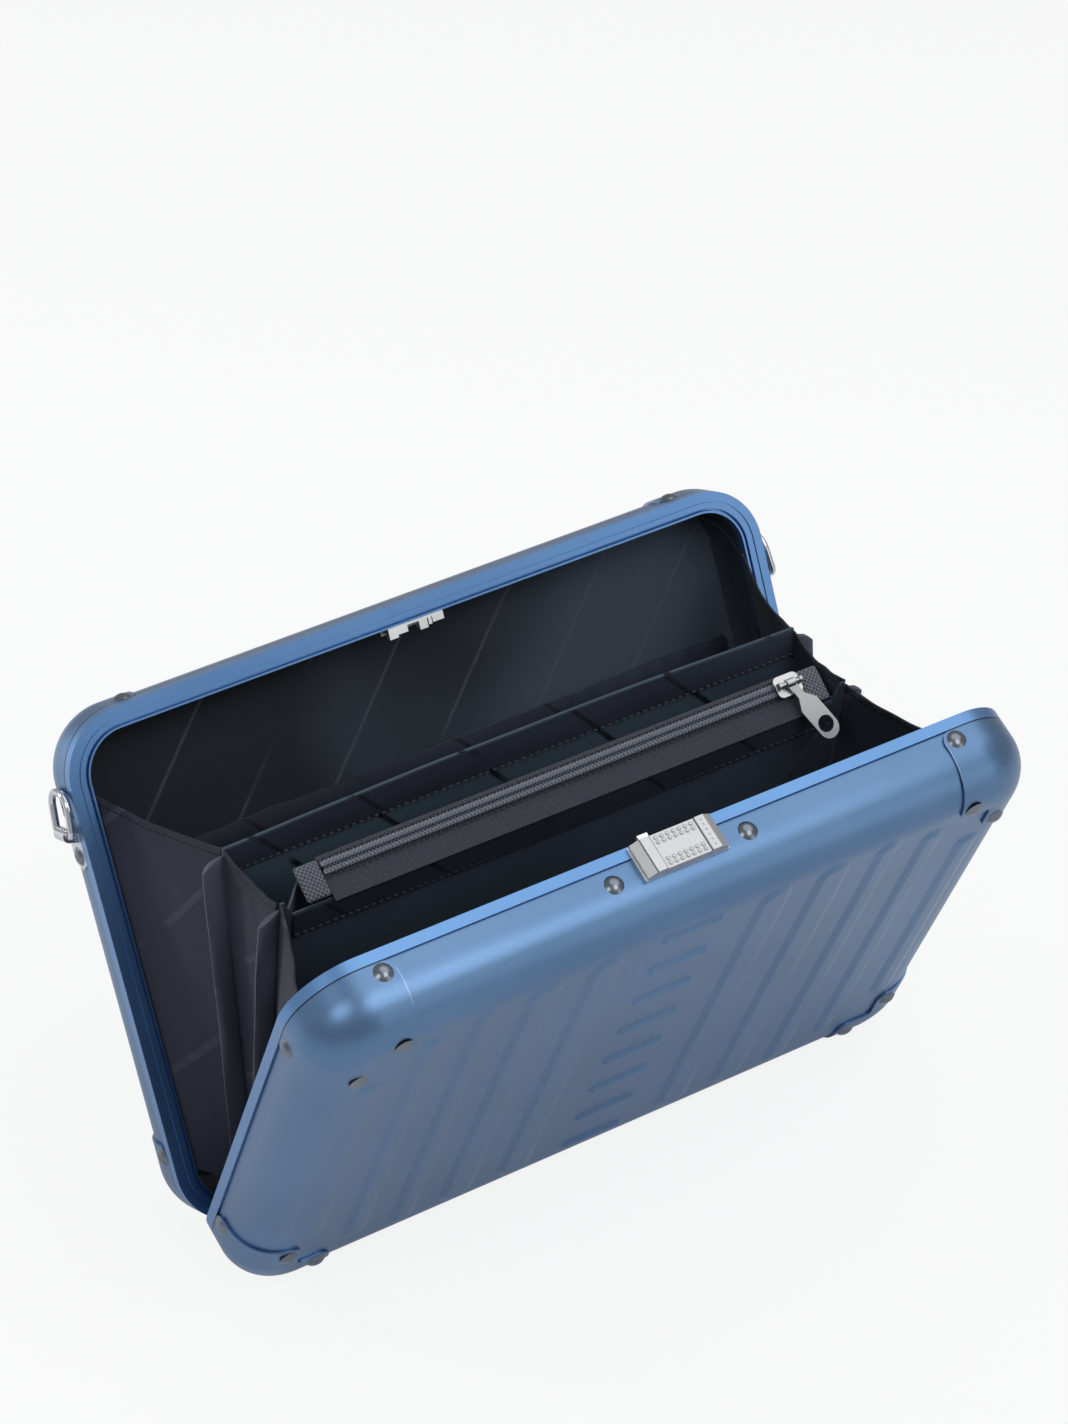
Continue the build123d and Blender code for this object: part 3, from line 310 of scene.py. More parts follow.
def blue_aluminium(name, colour, roughness, painted_cap_light_and_shade=False):
    """The flag paints a cap's highlight, a pale hairline at its end on the walls,
    and its shadow, a dark line in the seam along the rim.
    """
    finish = Finish(name, Metallic=1.0, Coat_Weight=0.45, Coat_Roughness=0.34)
    place = finish.place()
    grain = finish.noise(place, 2600.0, 3.0, 0.6)
    clouds = finish.noise(place, 14.0, 3.0)
    pale = tuple(min(1.0, c * 1.10 + 0.01) for c in colour)
    dye_and_painted_light = finish.blend_colours(finish.fade(clouds, 0.3, 0.7), colour + (1,), pale + (1,))
    if painted_cap_light_and_shade:
        x, y, z = finish.split(place)
        lean = math.radians(half_angle)
        depth = (finish.maths("ABSOLUTE", y) * math.cos(lean)
                 - (z - axis_height) * math.sin(lean))
        off_end = finish.maths("ABSOLUTE", x) - cap_end
        on_wall = 1 - finish.fade(depth, wall_end, face_start)
        # Painted highlight: a pale hairline where the cap ends on the walls.
        painted_highlight = (1 - finish.fade(off_end, 0.12 * MM, 0.34 * MM)) * on_wall
        # Painted shadow: a dark line in the seam between the cap and the rim.
        shaded = 1 - finish.fade(depth, cap_start + 0.2 * MM, cap_start + 0.6 * MM)
        dye_and_painted_light = finish.blend_colours(painted_highlight * 0.5, dye_and_painted_light, painted_highlight_colour)
        dye_and_painted_light = finish.blend_colours(shaded * 0.9, dye_and_painted_light, seam_shadow)
    finish.feed("Base Color", dye_and_painted_light)
    finish.feed("Roughness", clouds * 0.06 + grain * 0.08 + (roughness - 0.07))
    finish.bump(grain, 0.00004, 0.5)
    return finish


skin_finish = blue_aluminium("anodised_blue_shell", shell_blue, satin)
# The caps' finish also carries painted highlight and painted shadow.
cap_finish = blue_aluminium("anodised_blue_cap", shell_blue, satin, painted_cap_light_and_shade=True)
rim_finish = blue_aluminium("anodised_blue_rim", rim_blue, satin)
print("blue finishes made")

# %% [markdown]
# ## Bright and dark fittings
#
# The rivets are polished gunmetal, the latch and the keeper bright nickel, and the strap rings
# chrome. Each gets its own roughness, a fine noise that marks its gloss, and a wide one that
# dulls its colour here and there.

# %% Fittings
def fitting_metal(name, colour, roughness, scratch, scale=300.0):
    finish = Finish(name, Metallic=1.0)
    place = finish.place()
    marks = finish.noise(place, scale, 4.0, 0.7)
    wear = finish.noise(place, 60.0, 2.0)
    dull = tuple(c * 0.86 for c in colour)
    finish.feed("Base Color", finish.blend_colours(
        finish.fade(wear, 0.35, 0.65), colour + (1,), dull + (1,)))
    finish.feed("Roughness", marks * scratch + (roughness - scratch / 2))
    finish.bump(marks, 0.00003, 0.4)
    return finish


rivet_finish = fitting_metal("gunmetal_rivet", (0.22, 0.245, 0.285), 0.24, 0.1)
nickel_finish = fitting_metal("bright_nickel", (0.88, 0.89, 0.90), 0.40, 0.12)
chrome_finish = fitting_metal("ring_chrome", (0.72, 0.73, 0.75), 0.16, 0.08)
small_rivet_finish = fitting_metal("bright_rivet", (0.66, 0.67, 0.7), 0.2, 0.1)
hinge_finish = fitting_metal("hinge_steel", (0.40, 0.41, 0.43), 0.36, 0.16, 900.0)
zip_metal_finish = fitting_metal("zip_nickel", (0.50, 0.50, 0.505), 0.32, 0.12)
print("fittings' finishes made")

# %% [markdown]
# ## The patterned thumb block
#
# The latch's block is cast with rows of tiny studs, with a ring of painted shade round each of
# them. The studs are real. The shaded rings are sums on the block's own place: the distance
# along the case, and the depth behind the rim, which follows from how far the front shell
# leans. Two pairs of dark lines, also painted shade, mark the ends of the studded field and the
# start of the end slopes.

# %% Latch with painted shade round its studs
stud_pitch = 2.45 * MM                  # along the case
panel_depth = 8.0 * MM                  # middle of the stud rows, behind the rim plane
row_inner, row_outer = 3.5 * MM, 5.4 * MM
field_end, line_at, slope_at = 8.6 * MM, 9.4 * MM, 13.55 * MM
# Pale nickel, and a darker nickel that is painted shade.
nickel_pale, nickel_in_shade = (0.54, 0.545, 0.555, 1), (0.26, 0.263, 0.27, 1)

latch_finish = Finish("latch_nickel", Metallic=1.0)
latch_x, latch_y, latch_z = latch_finish.split(latch_finish.place())
lean = math.radians(half_angle)
depth = (latch_y * -math.cos(lean) - (latch_z - axis_height) * math.sin(lean)) - panel_depth
steps_x = latch_finish.maths("ROUND", latch_x / stud_pitch)
to_stud_x = latch_x - steps_x * stud_pitch
from_middle = latch_finish.maths("ABSOLUTE", depth)
to_inner = latch_finish.maths("ABSOLUTE", from_middle - row_inner)
to_outer = latch_finish.maths("ABSOLUTE", from_middle - row_outer)
to_row = latch_finish.maths("MINIMUM", to_inner, to_outer)
to_stud = latch_finish.maths("SQRT", to_stud_x * to_stud_x + to_row * to_row)
off_x = latch_finish.maths("ABSOLUTE", latch_x)
inside = 1 - latch_finish.fade(off_x, field_end, 9.0 * MM)
rings = (latch_finish.fade(to_stud, 0.34 * MM, 0.5 * MM)
         * (1 - latch_finish.fade(to_stud, 0.80 * MM, 1.15 * MM)) * inside)
bar_edge = latch_finish.maths("ABSOLUTE", off_x - line_at)
slope_edge = latch_finish.maths("ABSOLUTE", off_x - slope_at)
lines = 1 - latch_finish.fade(latch_finish.maths("MINIMUM", bar_edge, slope_edge),
                              0.16 * MM, 0.42 * MM)
panel_grain = latch_finish.noise(latch_finish.place(), 1400.0, 3.0, 0.7)
# Painted shade round the studs and in the dark lines at the field's ends and the slopes.
painted_shade = latch_finish.maths("MAXIMUM", rings * 0.5, lines * 0.8)
latch_finish.feed("Base Color", latch_finish.blend_colours(
    painted_shade, nickel_pale, nickel_in_shade))
latch_finish.feed("Roughness", panel_grain * 0.16 + painted_shade * 0.15 + 0.40)
latch_finish.bump(panel_grain, 0.00005, 0.6)
print("latch finish made")

# %% Give each metal node its finish
finishes_by_node = {
    "skin": skin_finish, "cap": cap_finish, "frame": rim_finish,
    "cap_rivets": rivet_finish, "latch_rivets": rivet_finish, "ring_rivets": rivet_finish,
    "gusset_rivets": small_rivet_finish, "hinge_rivets": small_rivet_finish,
    "keeper_rivet": rivet_finish, "hinge_leaves": hinge_finish, "hinge_pins": hinge_finish,
    "latch_backplate": hinge_finish, "latch_base": nickel_finish,
    "latch_thumb_block": latch_finish, "latch_claw": nickel_finish,
    "keeper_plate": nickel_finish, "keeper_blocks": nickel_finish,
    "keeper_rods": nickel_finish, "ring": chrome_finish, "bracket": chrome_finish,
    "slider": zip_metal_finish, "pull": zip_metal_finish}
for name, node in nodes.items():
    for ending, finish in finishes_by_node.items():
        if name.endswith(ending):
            node.data.materials.clear()
            node.data.materials.append(finish.material)
print("metal nodes finished")

# %% [markdown]
# ## Cloth with a printed stroke
#
# The lining is a smooth charcoal satin. Faint diagonal strokes, like the marks of a dry brush,
# run over it. A stroke is a thin line in a tilted grid: each row of the grid is shifted by a
# random amount, and only part of each cell is inked. The weave is two crossed waves. The walls'
# short stitches run close to the edge and are part of this finish.

# %% Cloth finishes
weave_rate = 14000.0                    # radians a metre: a thread every 0.45 mm
painted_stitch = 0.0034                 # from one painted stitch to the next
thread_shadow = (0.0015, 0.0015, 0.002, 1)


def satin_cloth(name, colour, stroke_colour, tilt, row_gap, row_length, line, sheen=2.0,
                seam_at=None, drift=1.0, bold=0.8):
    """tilt in degrees, row_gap, row_length and line in metres, sheen how much lighter its clouds
    of painted sheen are, drift how much the strokes' starts differ and bold how well they cover.
    seam_at puts a row of stitches this far below the top edge, where the UV map's v is 0."""
    finish = Finish(name)
    u, v, _ = finish.split(finish.along_cloth())
    turn = math.radians(tilt)
    along = u * math.cos(turn) + v * math.sin(turn)
    across = v * math.cos(turn) - u * math.sin(turn)
    row = finish.maths("FLOOR", across / row_gap)
    chance = finish.node("ShaderNodeTexWhiteNoise", {"noise_dimensions": "1D"}, {"W": row})
    cell = finish.maths("FRACT", along / row_length + chance * drift)
    off_line = finish.maths("ABSOLUTE", across / row_gap - row - (0.45 + chance * 0.1))
    thin = 1 - finish.fade(off_line * row_gap, line * 0.35, line)
    length = finish.fade(cell, 0.04, 0.10) * (1 - finish.fade(cell, 0.62 + chance * 0.2, 0.96))
    dry = finish.noise(finish.along_cloth(), 160.0, 3.0)
    stroke = thin * length * (finish.fade(dry, 0.25, 0.6) * 0.4 + 0.6)
    weave = finish.maths("SINE", u * weave_rate) * finish.maths("SINE", v * weave_rate)
    folds = finish.noise(finish.along_cloth(), 22.0, 3.0)
    clouds = finish.noise(finish.along_cloth(), 6.0, 2.0)
    # Painted sheen: clouds at random places made lighter by the sheen number.
    ground = finish.blend_colours(finish.fade(clouds, 0.38, 0.62), colour + (1,),
                                  tuple(c * sheen for c in colour) + (1,))
    height = folds * 3.0 + weave * 0.12 + stroke * 0.25
    inked = finish.blend_colours(stroke * bold, ground, stroke_colour + (1,))
    if seam_at:
        off_seam = finish.maths("ABSOLUTE", v + seam_at + folds * 0.0006)
        on_seam = 1 - finish.fade(off_seam, 0.0002, 0.0005)
        stitch = finish.fade(finish.maths("ABSOLUTE", finish.maths(
            "FRACT", u / painted_stitch) - 0.5), 0.10, 0.18) * on_seam
        inked = finish.blend_colours(stitch, inked, thread_shadow)
        height = height - on_seam * 1.2 + stitch * 0.8
    finish.feed("Base Color", inked)
    finish.feed("Roughness", 0.50 + folds * 0.18 - stroke * 0.08)
    finish.shader.inputs["Specular IOR Level"].default_value = 0.22
    finish.shader.inputs["Sheen Weight"].default_value = 0.05
    finish.shader.inputs["Sheen Roughness"].default_value = 0.4
    finish.bump(height, 0.0005, 0.35)
    return finish


# The number after each line width is the brightness of that cloth's painted sheen.
charcoal = (0.0170, 0.0225, 0.0310)
lining_finish = satin_cloth("lining_satin", charcoal, (0.105, 0.112, 0.145), 48, 0.0330, 0.19,
                            0.0010, 3.8, bold=0.5)
gusset_finish = satin_cloth("gusset_satin", (0.0215, 0.0240, 0.0360), (0.075, 0.082, 0.102),
                            45, 0.0400, 0.075, 0.0019, 1.7, 0.0026, bold=0.55)
# The folds use the side walls' cloth made lighter, as painted highlight on the rounded folds; the
# pocket's back and the floor strip use it too.
fold_finish = satin_cloth("fold_satin", (0.054, 0.060, 0.080), (0.095, 0.102, 0.125),
                          45, 0.0400, 0.075, 0.0015, 1.7)
divider_finish = satin_cloth("divider_satin", (0.044, 0.066, 0.090), (0.0010, 0.0012, 0.002),
                             -47, 0.0330, 0.085, 0.0016, 1.3, drift=0.1, bold=0.95)
pocket_finish = satin_cloth("pocket_satin", (0.040, 0.055, 0.080), (0.080, 0.095, 0.12),
                            48, 0.0330, 0.11, 0.0012, 1.4, bold=0.5)
hem_finish = satin_cloth("hem_satin", (0.021, 0.026, 0.040), (0.002, 0.002, 0.003),
                         -47, 0.0330, 0.085, 0.0013, 1.5, drift=0.1, bold=0.6)
print("cloth finishes made")

# %% [markdown]
# ## Helpers for cloth
#
# A wall of the accordion is a flat grid whose points are then moved to where the cloth hangs.
# The grid keeps a UV map in metres, so the weave has its true size wherever the cloth turns.
# Solidify gives the cloth its thickness, and the finished mesh is put in place for good.

# %% Making and placing cloth
def deselect():
    if bpy.context.object and bpy.context.object.mode != "OBJECT":
        bpy.ops.object.mode_set(mode="OBJECT")
    bpy.ops.object.select_all(action="DESELECT")


def choose(piece):
    deselect()
    piece.select_set(True)
    bpy.context.view_layer.objects.active = piece


def settle(piece, lean=0.0):
    """Leans an upright piece about the hinge axis and fixes its place in its mesh."""
    choose(piece)
    piece.rotation_euler.x = -math.radians(lean)
    piece.location = (0, 0, axis_height)
    bpy.ops.object.transform_apply(location=True, rotation=True, scale=True)


def apply_all(piece):
    choose(piece)
    for modifier in list(piece.modifiers):
        bpy.ops.object.modifier_apply(modifier=modifier.name)


def cloth(name, columns, rows, place, wall, finish, size=None, measure=None):
    """A sheet whose point at shares (a, b), from 0 to 1, lies at place(a, b).
    Its UV map is in metres: the shares times size, or what measure(a, b) gives."""
    deselect()
    bpy.ops.mesh.primitive_grid_add(x_subdivisions=columns, y_subdivisions=rows, size=1)
    sheet = bpy.context.object
    sheet.name = name
    shares = [(point.co.x + 0.5, point.co.y + 0.5) for point in sheet.data.vertices]
    for point, (a, b) in zip(sheet.data.vertices, shares):
        point.co = place(a, b)
    layer = sheet.data.uv_layers["UVMap"].data
    for loop in sheet.data.loops:
        a, b = shares[loop.vertex_index]
        layer[loop.index].uv = measure(a, b) if measure else (a * size[0], b * size[1])
    thick = sheet.modifiers.new("thickness", "SOLIDIFY")
    thick.thickness = wall
    thick.offset = 0
    sheet.data.materials.append(finish.material)
    apply_all(sheet)
    bpy.ops.object.shade_smooth_by_angle(angle=math.radians(40))
    return sheet


def install(piece, lean, body, node=None):
    """Leans a finished piece into its place, and says what carries it and which CAD node it
    replaces."""
    settle(piece, lean)
    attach(piece, body)
    if node:
        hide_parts(node)


def ripple(a, b, seed):
    """A slow unevenness between -1 and 1 that cloth has when it hangs."""
    return (0.5 * math.sin(5.1 * a + 2.3 * b + seed)
            + 0.3 * math.sin(9.7 * a - 3.1 * b + 2 * seed)
            + 0.2 * math.sin(4.0 * a * b + 7.3 * b + 3 * seed))


print("cloth helpers ready")

# %% [markdown]
# ## Stitching
#
# A machine seam is a row of short threads with a small gap between them. One stitch is a low,
# stretched ball with few faces, and an array repeats it along the seam.

# %% One stitch, repeated
thread_finish = Finish("seam_thread", Roughness=0.7)
thread_twist = thread_finish.noise(thread_finish.place(), 2200.0)
thread_finish.feed("Base Color", thread_finish.blend_colours(
    thread_twist, (0.015, 0.016, 0.02, 1), (0.05, 0.052, 0.06, 1)))


def seam(name, start, end, body, lean, pitch=0.0031, thread=0.00045):
    start, end = Vector(start), Vector(end)
    run = end - start
    count = max(2, int(run.length / pitch))
    deselect()
    bpy.ops.mesh.primitive_uv_sphere_add(segments=8, ring_count=5, radius=1)
    stitch = bpy.context.object
    stitch.name = name
    stitch.scale = (pitch * 0.36, thread, thread)
    stitch.rotation_euler = run.to_track_quat("X", "Z").to_euler()
    stitch.location = start
    bpy.ops.object.transform_apply(location=True, rotation=True, scale=True)
    row = stitch.modifiers.new("row", "ARRAY")
    row.count = count
    row.use_relative_offset = False
    row.use_constant_offset = True
    row.constant_offset_displace = run / (count - 1)
    apply_all(stitch)
    bpy.ops.object.shade_smooth()
    stitch.data.materials.append(thread_finish.material)
    settle(stitch, lean)
    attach(stitch, body)


print("stitch ready")

# %% [markdown]
# ## Shell linings
#
# Each shell is lined with a fabric tray pressed into it. It starts as a cube the size of the
# hollow. The four edges along Y are bevelled to the case's round corners, the outer edges to
# the curve between wall and face, and the side towards the opening is deleted. Bisect then
# cuts the rest into a mesh fine enough to pucker.

# %% Pressed lining trays
def pick_edges(piece, test):
    """In edit mode, leaves only the edges selected whose two ends pass the test."""
    bpy.ops.mesh.select_all(action="DESELECT")
    bpy.ops.mesh.select_mode(type="EDGE")
    shape = bmesh.from_edit_mesh(piece.data)
    for edge in shape.edges:
        edge.select_set(test(edge.verts[0].co, edge.verts[1].co))
    bmesh.update_edit_mesh(piece.data)


def pick_faces(piece, test):
    """In edit mode, leaves only the faces selected whose middle and normal pass the test."""
    bpy.ops.mesh.select_all(action="DESELECT")
    bpy.ops.mesh.select_mode(type="FACE")
    shape = bmesh.from_edit_mesh(piece.data)
    for face in shape.faces:
        face.select_set(test(face.calc_center_median(), face.normal))
    bmesh.update_edit_mesh(piece.data)


def block(name, low, high):
    """A cube between two corners, with its place in its mesh."""
    deselect()
    middle = [(a + b) / 2 for a, b in zip(low, high)]
    bpy.ops.mesh.primitive_cube_add(size=1, location=middle)
    made = bpy.context.object
    made.name = name
    made.scale = [b - a for a, b in zip(low, high)]
    bpy.ops.object.transform_apply(location=True, rotation=True, scale=True)
    return made


def slice_up(piece, axis, places):
    """Bisects the whole mesh at several places along one axis."""
    direction = [0, 0, 0]
    direction[axis] = 1
    for place in places:
        bpy.ops.mesh.select_all(action="SELECT")
        point = [0, 0, 0]
        point[axis] = place
        bpy.ops.mesh.bisect(plane_co=point, plane_no=direction)


lining_reach, lining_low, lining_high = 0.1462, 0.0086, 0.2003
lining_near, lining_far = 0.0049, 0.0271
tray_corner, tray_edge, tray_wall = 0.0187, 0.0127, 0.0015


def lining_tray(name, side, body, lean, seed, node):
    tray = block(name, (-lining_reach, min(side * lining_near, side * lining_far), lining_low),
                 (lining_reach, max(side * lining_near, side * lining_far), lining_high))
    bpy.ops.object.mode_set(mode="EDIT")
    pick_edges(tray, lambda a, b: abs(a.y - b.y) > 0.01)
    bpy.ops.mesh.bevel(offset=tray_corner, segments=8, affect="EDGES")
    outer = side * lining_far
    pick_edges(tray, lambda a, b: abs(a.y - outer) < 1e-5 and abs(b.y - outer) < 1e-5)
    bpy.ops.mesh.bevel(offset=tray_edge, segments=6, affect="EDGES")
    pick_faces(tray, lambda middle, normal: normal.y * side < -0.9)
    bpy.ops.mesh.delete(type="FACE")
    slice_up(tray, 0, [0.008 * k for k in range(-17, 18)])
    slice_up(tray, 2, [0.012 + 0.009 * k for k in range(21)])
    bpy.ops.mesh.select_all(action="SELECT")
    bpy.ops.uv.cube_project(cube_size=1, correct_aspect=False)
    bpy.ops.object.mode_set(mode="OBJECT")
    for point in tray.data.vertices:
        a, b = point.co.x / 0.3, point.co.z / 0.2
        from_rim = abs(point.co.y) - lining_near
        soft = min(1, max(0, from_rim / 0.01))
        point.co.y -= side * soft * 0.0007 * (1 + ripple(2 * a, 2 * b, seed))
    thick = tray.modifiers.new("thickness", "SOLIDIFY")
    thick.thickness = tray_wall
    thick.offset = 0
    apply_all(tray)
    bpy.ops.object.shade_smooth_by_angle(angle=math.radians(45))
    tray.data.materials.append(lining_finish.material)
    install(tray, lean, body, node)
    return tray


back_tray = lining_tray("back_lining_tray", 1, "back_shell", back_lean, 1.0, "back_lining")
lining_tray("front_lining_tray", -1, "front_shell", front_lean, 4.0, "front_lining")
print("linings:", len(back_tray.data.polygons), "faces each")

# %% [markdown]
# ## The pocket panel
#
# A flat pocket is sewn to the back lining. An elastic in its top hem draws the cloth, so the
# edge stands a little off the lining in the middle and the cloth below it gathers slightly.

# %% Panel of the flat pocket
panel_half, panel_low, panel_high = 0.1385, 0.0160, 0.1425


def panel_place(a, b):
    x = (a - 0.5) * 2 * panel_half
    r = panel_low + b * (panel_high - panel_low)
    loose = math.sin(math.pi * a) ** 0.6 * b ** 2
    gather = 0.0005 * math.sin(x * 420 + 3 * math.sin(x * 60)) * b ** 6
    fold = 0.0012 * math.exp(-((x - 0.098 + 0.03 * b) / 0.004) ** 2) * b
    y = 0.0238 - 0.0022 * loose - gather - fold - 0.0005 * ripple(3 * a, 2 * b, 2.0)
    return (x, y, r + 0.0004 * ripple(4 * a, b, 7.0) * b)


panel = cloth("pocket_panel", 150, 60, panel_place, 0.0007, lining_finish,
              (2 * panel_half, panel_high - panel_low))
install(panel, back_lean, "back_shell", "back_pocket_panel")


def panel_hem_place(a, b):
    x, y, r = panel_place(a, 1 - 0.075 * (1 - b))
    return (x, y - 0.0008 - 0.0007 * math.sin(math.pi * b), r)


panel_hem = cloth("pocket_panel_hem", 150, 6, panel_hem_place, 0.0005, hem_finish,
                  (2 * panel_half, 0.0095))
install(panel_hem, back_lean, "back_shell")
print("pocket panel made")

# %% [markdown]
# ## The divider
#
# A stiff board wrapped in cloth stands between the shells. The cloth pulls it into a shallow
# bow along the top edge. Where the side walls are sewn to it, the seam stands out as a narrow
# double fold, and the top edge has a sewn hem on its front.

# %% Divider board, hem and side folds
divider_half, cloth_low, divider_high = 0.1243, 0.0109, 0.1689


def divider_bow(a, b):
    return (0.0012 * math.sin(math.pi * a) * b ** 3, 0.0013 * math.sin(math.pi * a * 0.9) * b ** 4)


def divider_place(a, b):
    x = (a - 0.5) * 2 * divider_half
    back_by, up_by = divider_bow(a, b)
    y = 0.0013 + back_by + 0.00025 * ripple(3 * a, 2 * b, 5.0) * b
    return (x, y, cloth_low + b * (divider_high - cloth_low) + up_by)


divider_sheet = cloth("divider_cloth", 90, 60, divider_place, 0.0014, divider_finish,
                      (2 * divider_half, divider_high - cloth_low))
install(divider_sheet, divider_lean, "divider", "divider_board")


hem_inset, hem_low_share, hem_out = 0.0010, 0.932, 0.00115


def divider_hem_place(a, b):
    x, y, r = divider_place(hem_inset / (2 * divider_half) + a * (1 - hem_inset / divider_half),
                            hem_low_share + b * (1 - hem_low_share))
    return (x, y - hem_out - 0.0003 * math.sin(math.pi * b), r - 0.0002)


divider_hem = cloth("divider_top_hem", 90, 5, divider_hem_place, 0.0004, hem_finish,
                    (2 * divider_half, 0.0108))
install(divider_hem, divider_lean, "divider", "divider_hem")


fold_low, fold_high = 0.0188, 0.1660


def side_fold(name, side, inner, outer, low, high, y, body, lean, seed):
    """A sewn double fold that stands out past the side wall's seam."""
    def place(a, b):
        ends = min(1, b * 14, (1 - b) * 30) ** 0.5
        x = inner + a * (outer - inner) * ends
        wave = 0.0006 * a * math.sin(9 * b + seed) + 0.0002 * a * math.sin(23 * b + 2 * seed)
        return (side * x, y + wave, low + b * (high - low))

    fold = cloth(name, 10, 90, place, 0.0012, fold_finish, (outer - inner, high - low))
    for point in fold.data.vertices:
        share = min(1, max(0, (abs(point.co.x) - inner) / (outer - inner)))
        fullness = 0.6 + 1.3 * math.sqrt(1 - (2 * share - 1) ** 2)
        point.co.y = y + (point.co.y - y) * fullness
    install(fold, lean, body)


for side, word in ((-1, "left"), (1, "right")):
    side_fold(f"divider_{word}_fold", side, 0.1246, 0.1329, fold_low, fold_high, 0.0013,
              "divider", divider_lean, 1.0 + side)
    side_fold(f"pocket_{word}_fold", side, 0.1222, 0.1304, fold_low, fold_high, -0.0005,
              "zip_pocket", pocket_lean, 2.0 + side)
print("divider and side folds made")

# %% [markdown]
# ## The zipped pocket
#
# In front of the divider hangs a slim pocket. Its front is one flat sheet with a hem. Its back
# is drawn out towards the top, where the zip closes it like a lid that slopes down to the
# front, so the corners are pinched in.

# %% Zip line, pocket front and its hem
zip_slope = math.radians(29)
zip_middle = Vector((0.003, 0.0082, 0.1675))
zip_back = Vector((0, math.cos(zip_slope), math.sin(zip_slope)))
zip_out = Vector((0, -math.sin(zip_slope), math.cos(zip_slope)))


def on_zip(u, v, w):
    """A point of the zip: u along it, v towards the divider, w out of the tape."""
    return zip_middle + Vector((u, 0, 0)) + zip_back * v + zip_out * w


def zip_height(y, w):
    """How high the zip's plane, moved out by w, lies above a point y behind the front wall."""
    v = (y - zip_middle.y + w * math.sin(zip_slope)) / math.cos(zip_slope)
    return zip_middle.z + v * math.sin(zip_slope) + w * math.cos(zip_slope)


pocket_half, pocket_top = 0.1218, 0.1614
corner_in, corner_run, corner_top = 0.1168, 0.0035, 0.1688      # the raised ends of the top edge


def pocket_front_place(a, b):
    x = (a - 0.5) * 2 * pocket_half
    corner = min(1, max(0, (abs(x) - corner_in) / corner_run))
    corner = corner * corner * (3 - 2 * corner)
    top = pocket_top + (corner_top - pocket_top) * corner
    belly = 0.0006 * math.sin(math.pi * a) * math.sin(math.pi * b)
    return (x, -0.0005 - belly + 0.0002 * ripple(3 * a, 2 * b, 8.0),
            cloth_low + b * (top - cloth_low))


pocket_front = cloth("pocket_front_cloth", 140, 60, pocket_front_place, 0.0008, pocket_finish,
                     (2 * pocket_half, pocket_top - cloth_low))
install(pocket_front, pocket_lean, "zip_pocket", "pocket_front_wall")

pocket_hem_half, pocket_hem_low, pocket_hem_tall = 0.1165, 0.1503, 0.0108


def pocket_hem_place(a, b):
    y = -0.00135 - 0.0003 * math.sin(math.pi * b) - 0.0006 * math.sin(math.pi * a)
    return ((a - 0.5) * 2 * pocket_hem_half, y, pocket_hem_low + b * pocket_hem_tall)


pocket_hem = cloth("pocket_front_hem", 110, 5, pocket_hem_place, 0.0004, hem_finish,
                   (2 * pocket_hem_half, pocket_hem_tall))
install(pocket_hem, pocket_lean, "zip_pocket", "pocket_hem")
print("pocket's front and hem made")

# %% Bulging back of the pocket
flat_half, pinch_run, pinch_end = 0.104, 0.0205, 0.1216     # straight part, and the pinched ends
back_low = 0.0147
bulge_low, bulge_high = 0.0010, 0.0111


def pocket_back_place(a, b):
    s = (a - 0.5) * 2 * (flat_half + pinch_run)
    past = max(0, abs(s) - flat_half) / pinch_run
    lift = 0.5 + 0.5 * math.cos(math.pi * min(1, past))
    x = math.copysign(min(abs(s), flat_half) + past * (pinch_end - flat_half), s)
    bulge = bulge_low + (bulge_high - bulge_low) * b
    y = 0.0004 + bulge * lift + 0.0003 * ripple(3 * a, 3 * b, 3.0) * lift * b
    top = zip_height(y, -0.0025)
    return (x, y, back_low + b * (top - back_low))


pocket_back = cloth("pocket_back_cloth", 130, 50, pocket_back_place, 0.0008, fold_finish,
                    (0.249, 0.150))
install(pocket_back, pocket_lean, "zip_pocket", "pocket_back_wall")
print("pocket's back made")

# %% [markdown]
# ## The zip
#
# The tape is woven, with a grain that shows at this size, so its weave is strong. The teeth of
# a coil zip are loops of one plastic wire. One loop is modelled as a small stretched ball that
# slants a little, and an array repeats it, with the second row half a step on, so that the rows
# seem to lock. A plain bar inside each row stands for the cord that fills the loops.

# %% Woven tape and webbing finishes
def woven(name, dark, pale, thread, rough, height):
    """Threads over and under each other, thread metres apart."""
    finish = Finish(name)
    u, v, _ = finish.split(finish.along_cloth())
    turns = 2 * math.pi / thread
    over = finish.maths("SINE", u * turns)
    under = finish.maths("SINE", v * turns)
    grid = over * under
    uneven = finish.noise(finish.along_cloth(), 900.0, 2.0)
    level = finish.fade(grid + (uneven - 0.5) * 1.4, -0.8, 0.9)
    finish.feed("Base Color", finish.blend_colours(level, dark + (1,), pale + (1,)))
    finish.feed("Roughness", rough + level * 0.08)
    finish.bump(level, height, 0.8)
    return finish


tape_finish = woven("zip_tape_weave", (0.014, 0.017, 0.025), (0.066, 0.077, 0.104),
                    0.0011, 0.6, 0.0003)
webbing_finish = woven("webbing_weave", (0.046, 0.051, 0.062), (0.185, 0.205, 0.245),
                       0.0019, 0.65, 0.0005)
coil_finish = Finish("zip_coil_plastic")
coil_dust = coil_finish.noise(coil_finish.place(), 700.0)
coil_finish.feed("Base Color", coil_finish.blend_colours(
    coil_dust, (0.10, 0.112, 0.14, 1), (0.17, 0.188, 0.225, 1)))
coil_finish.feed("Roughness", coil_dust * 0.2 + 0.26)
print("zip finishes made")

# %% Zip tapes
zip_half = 0.103


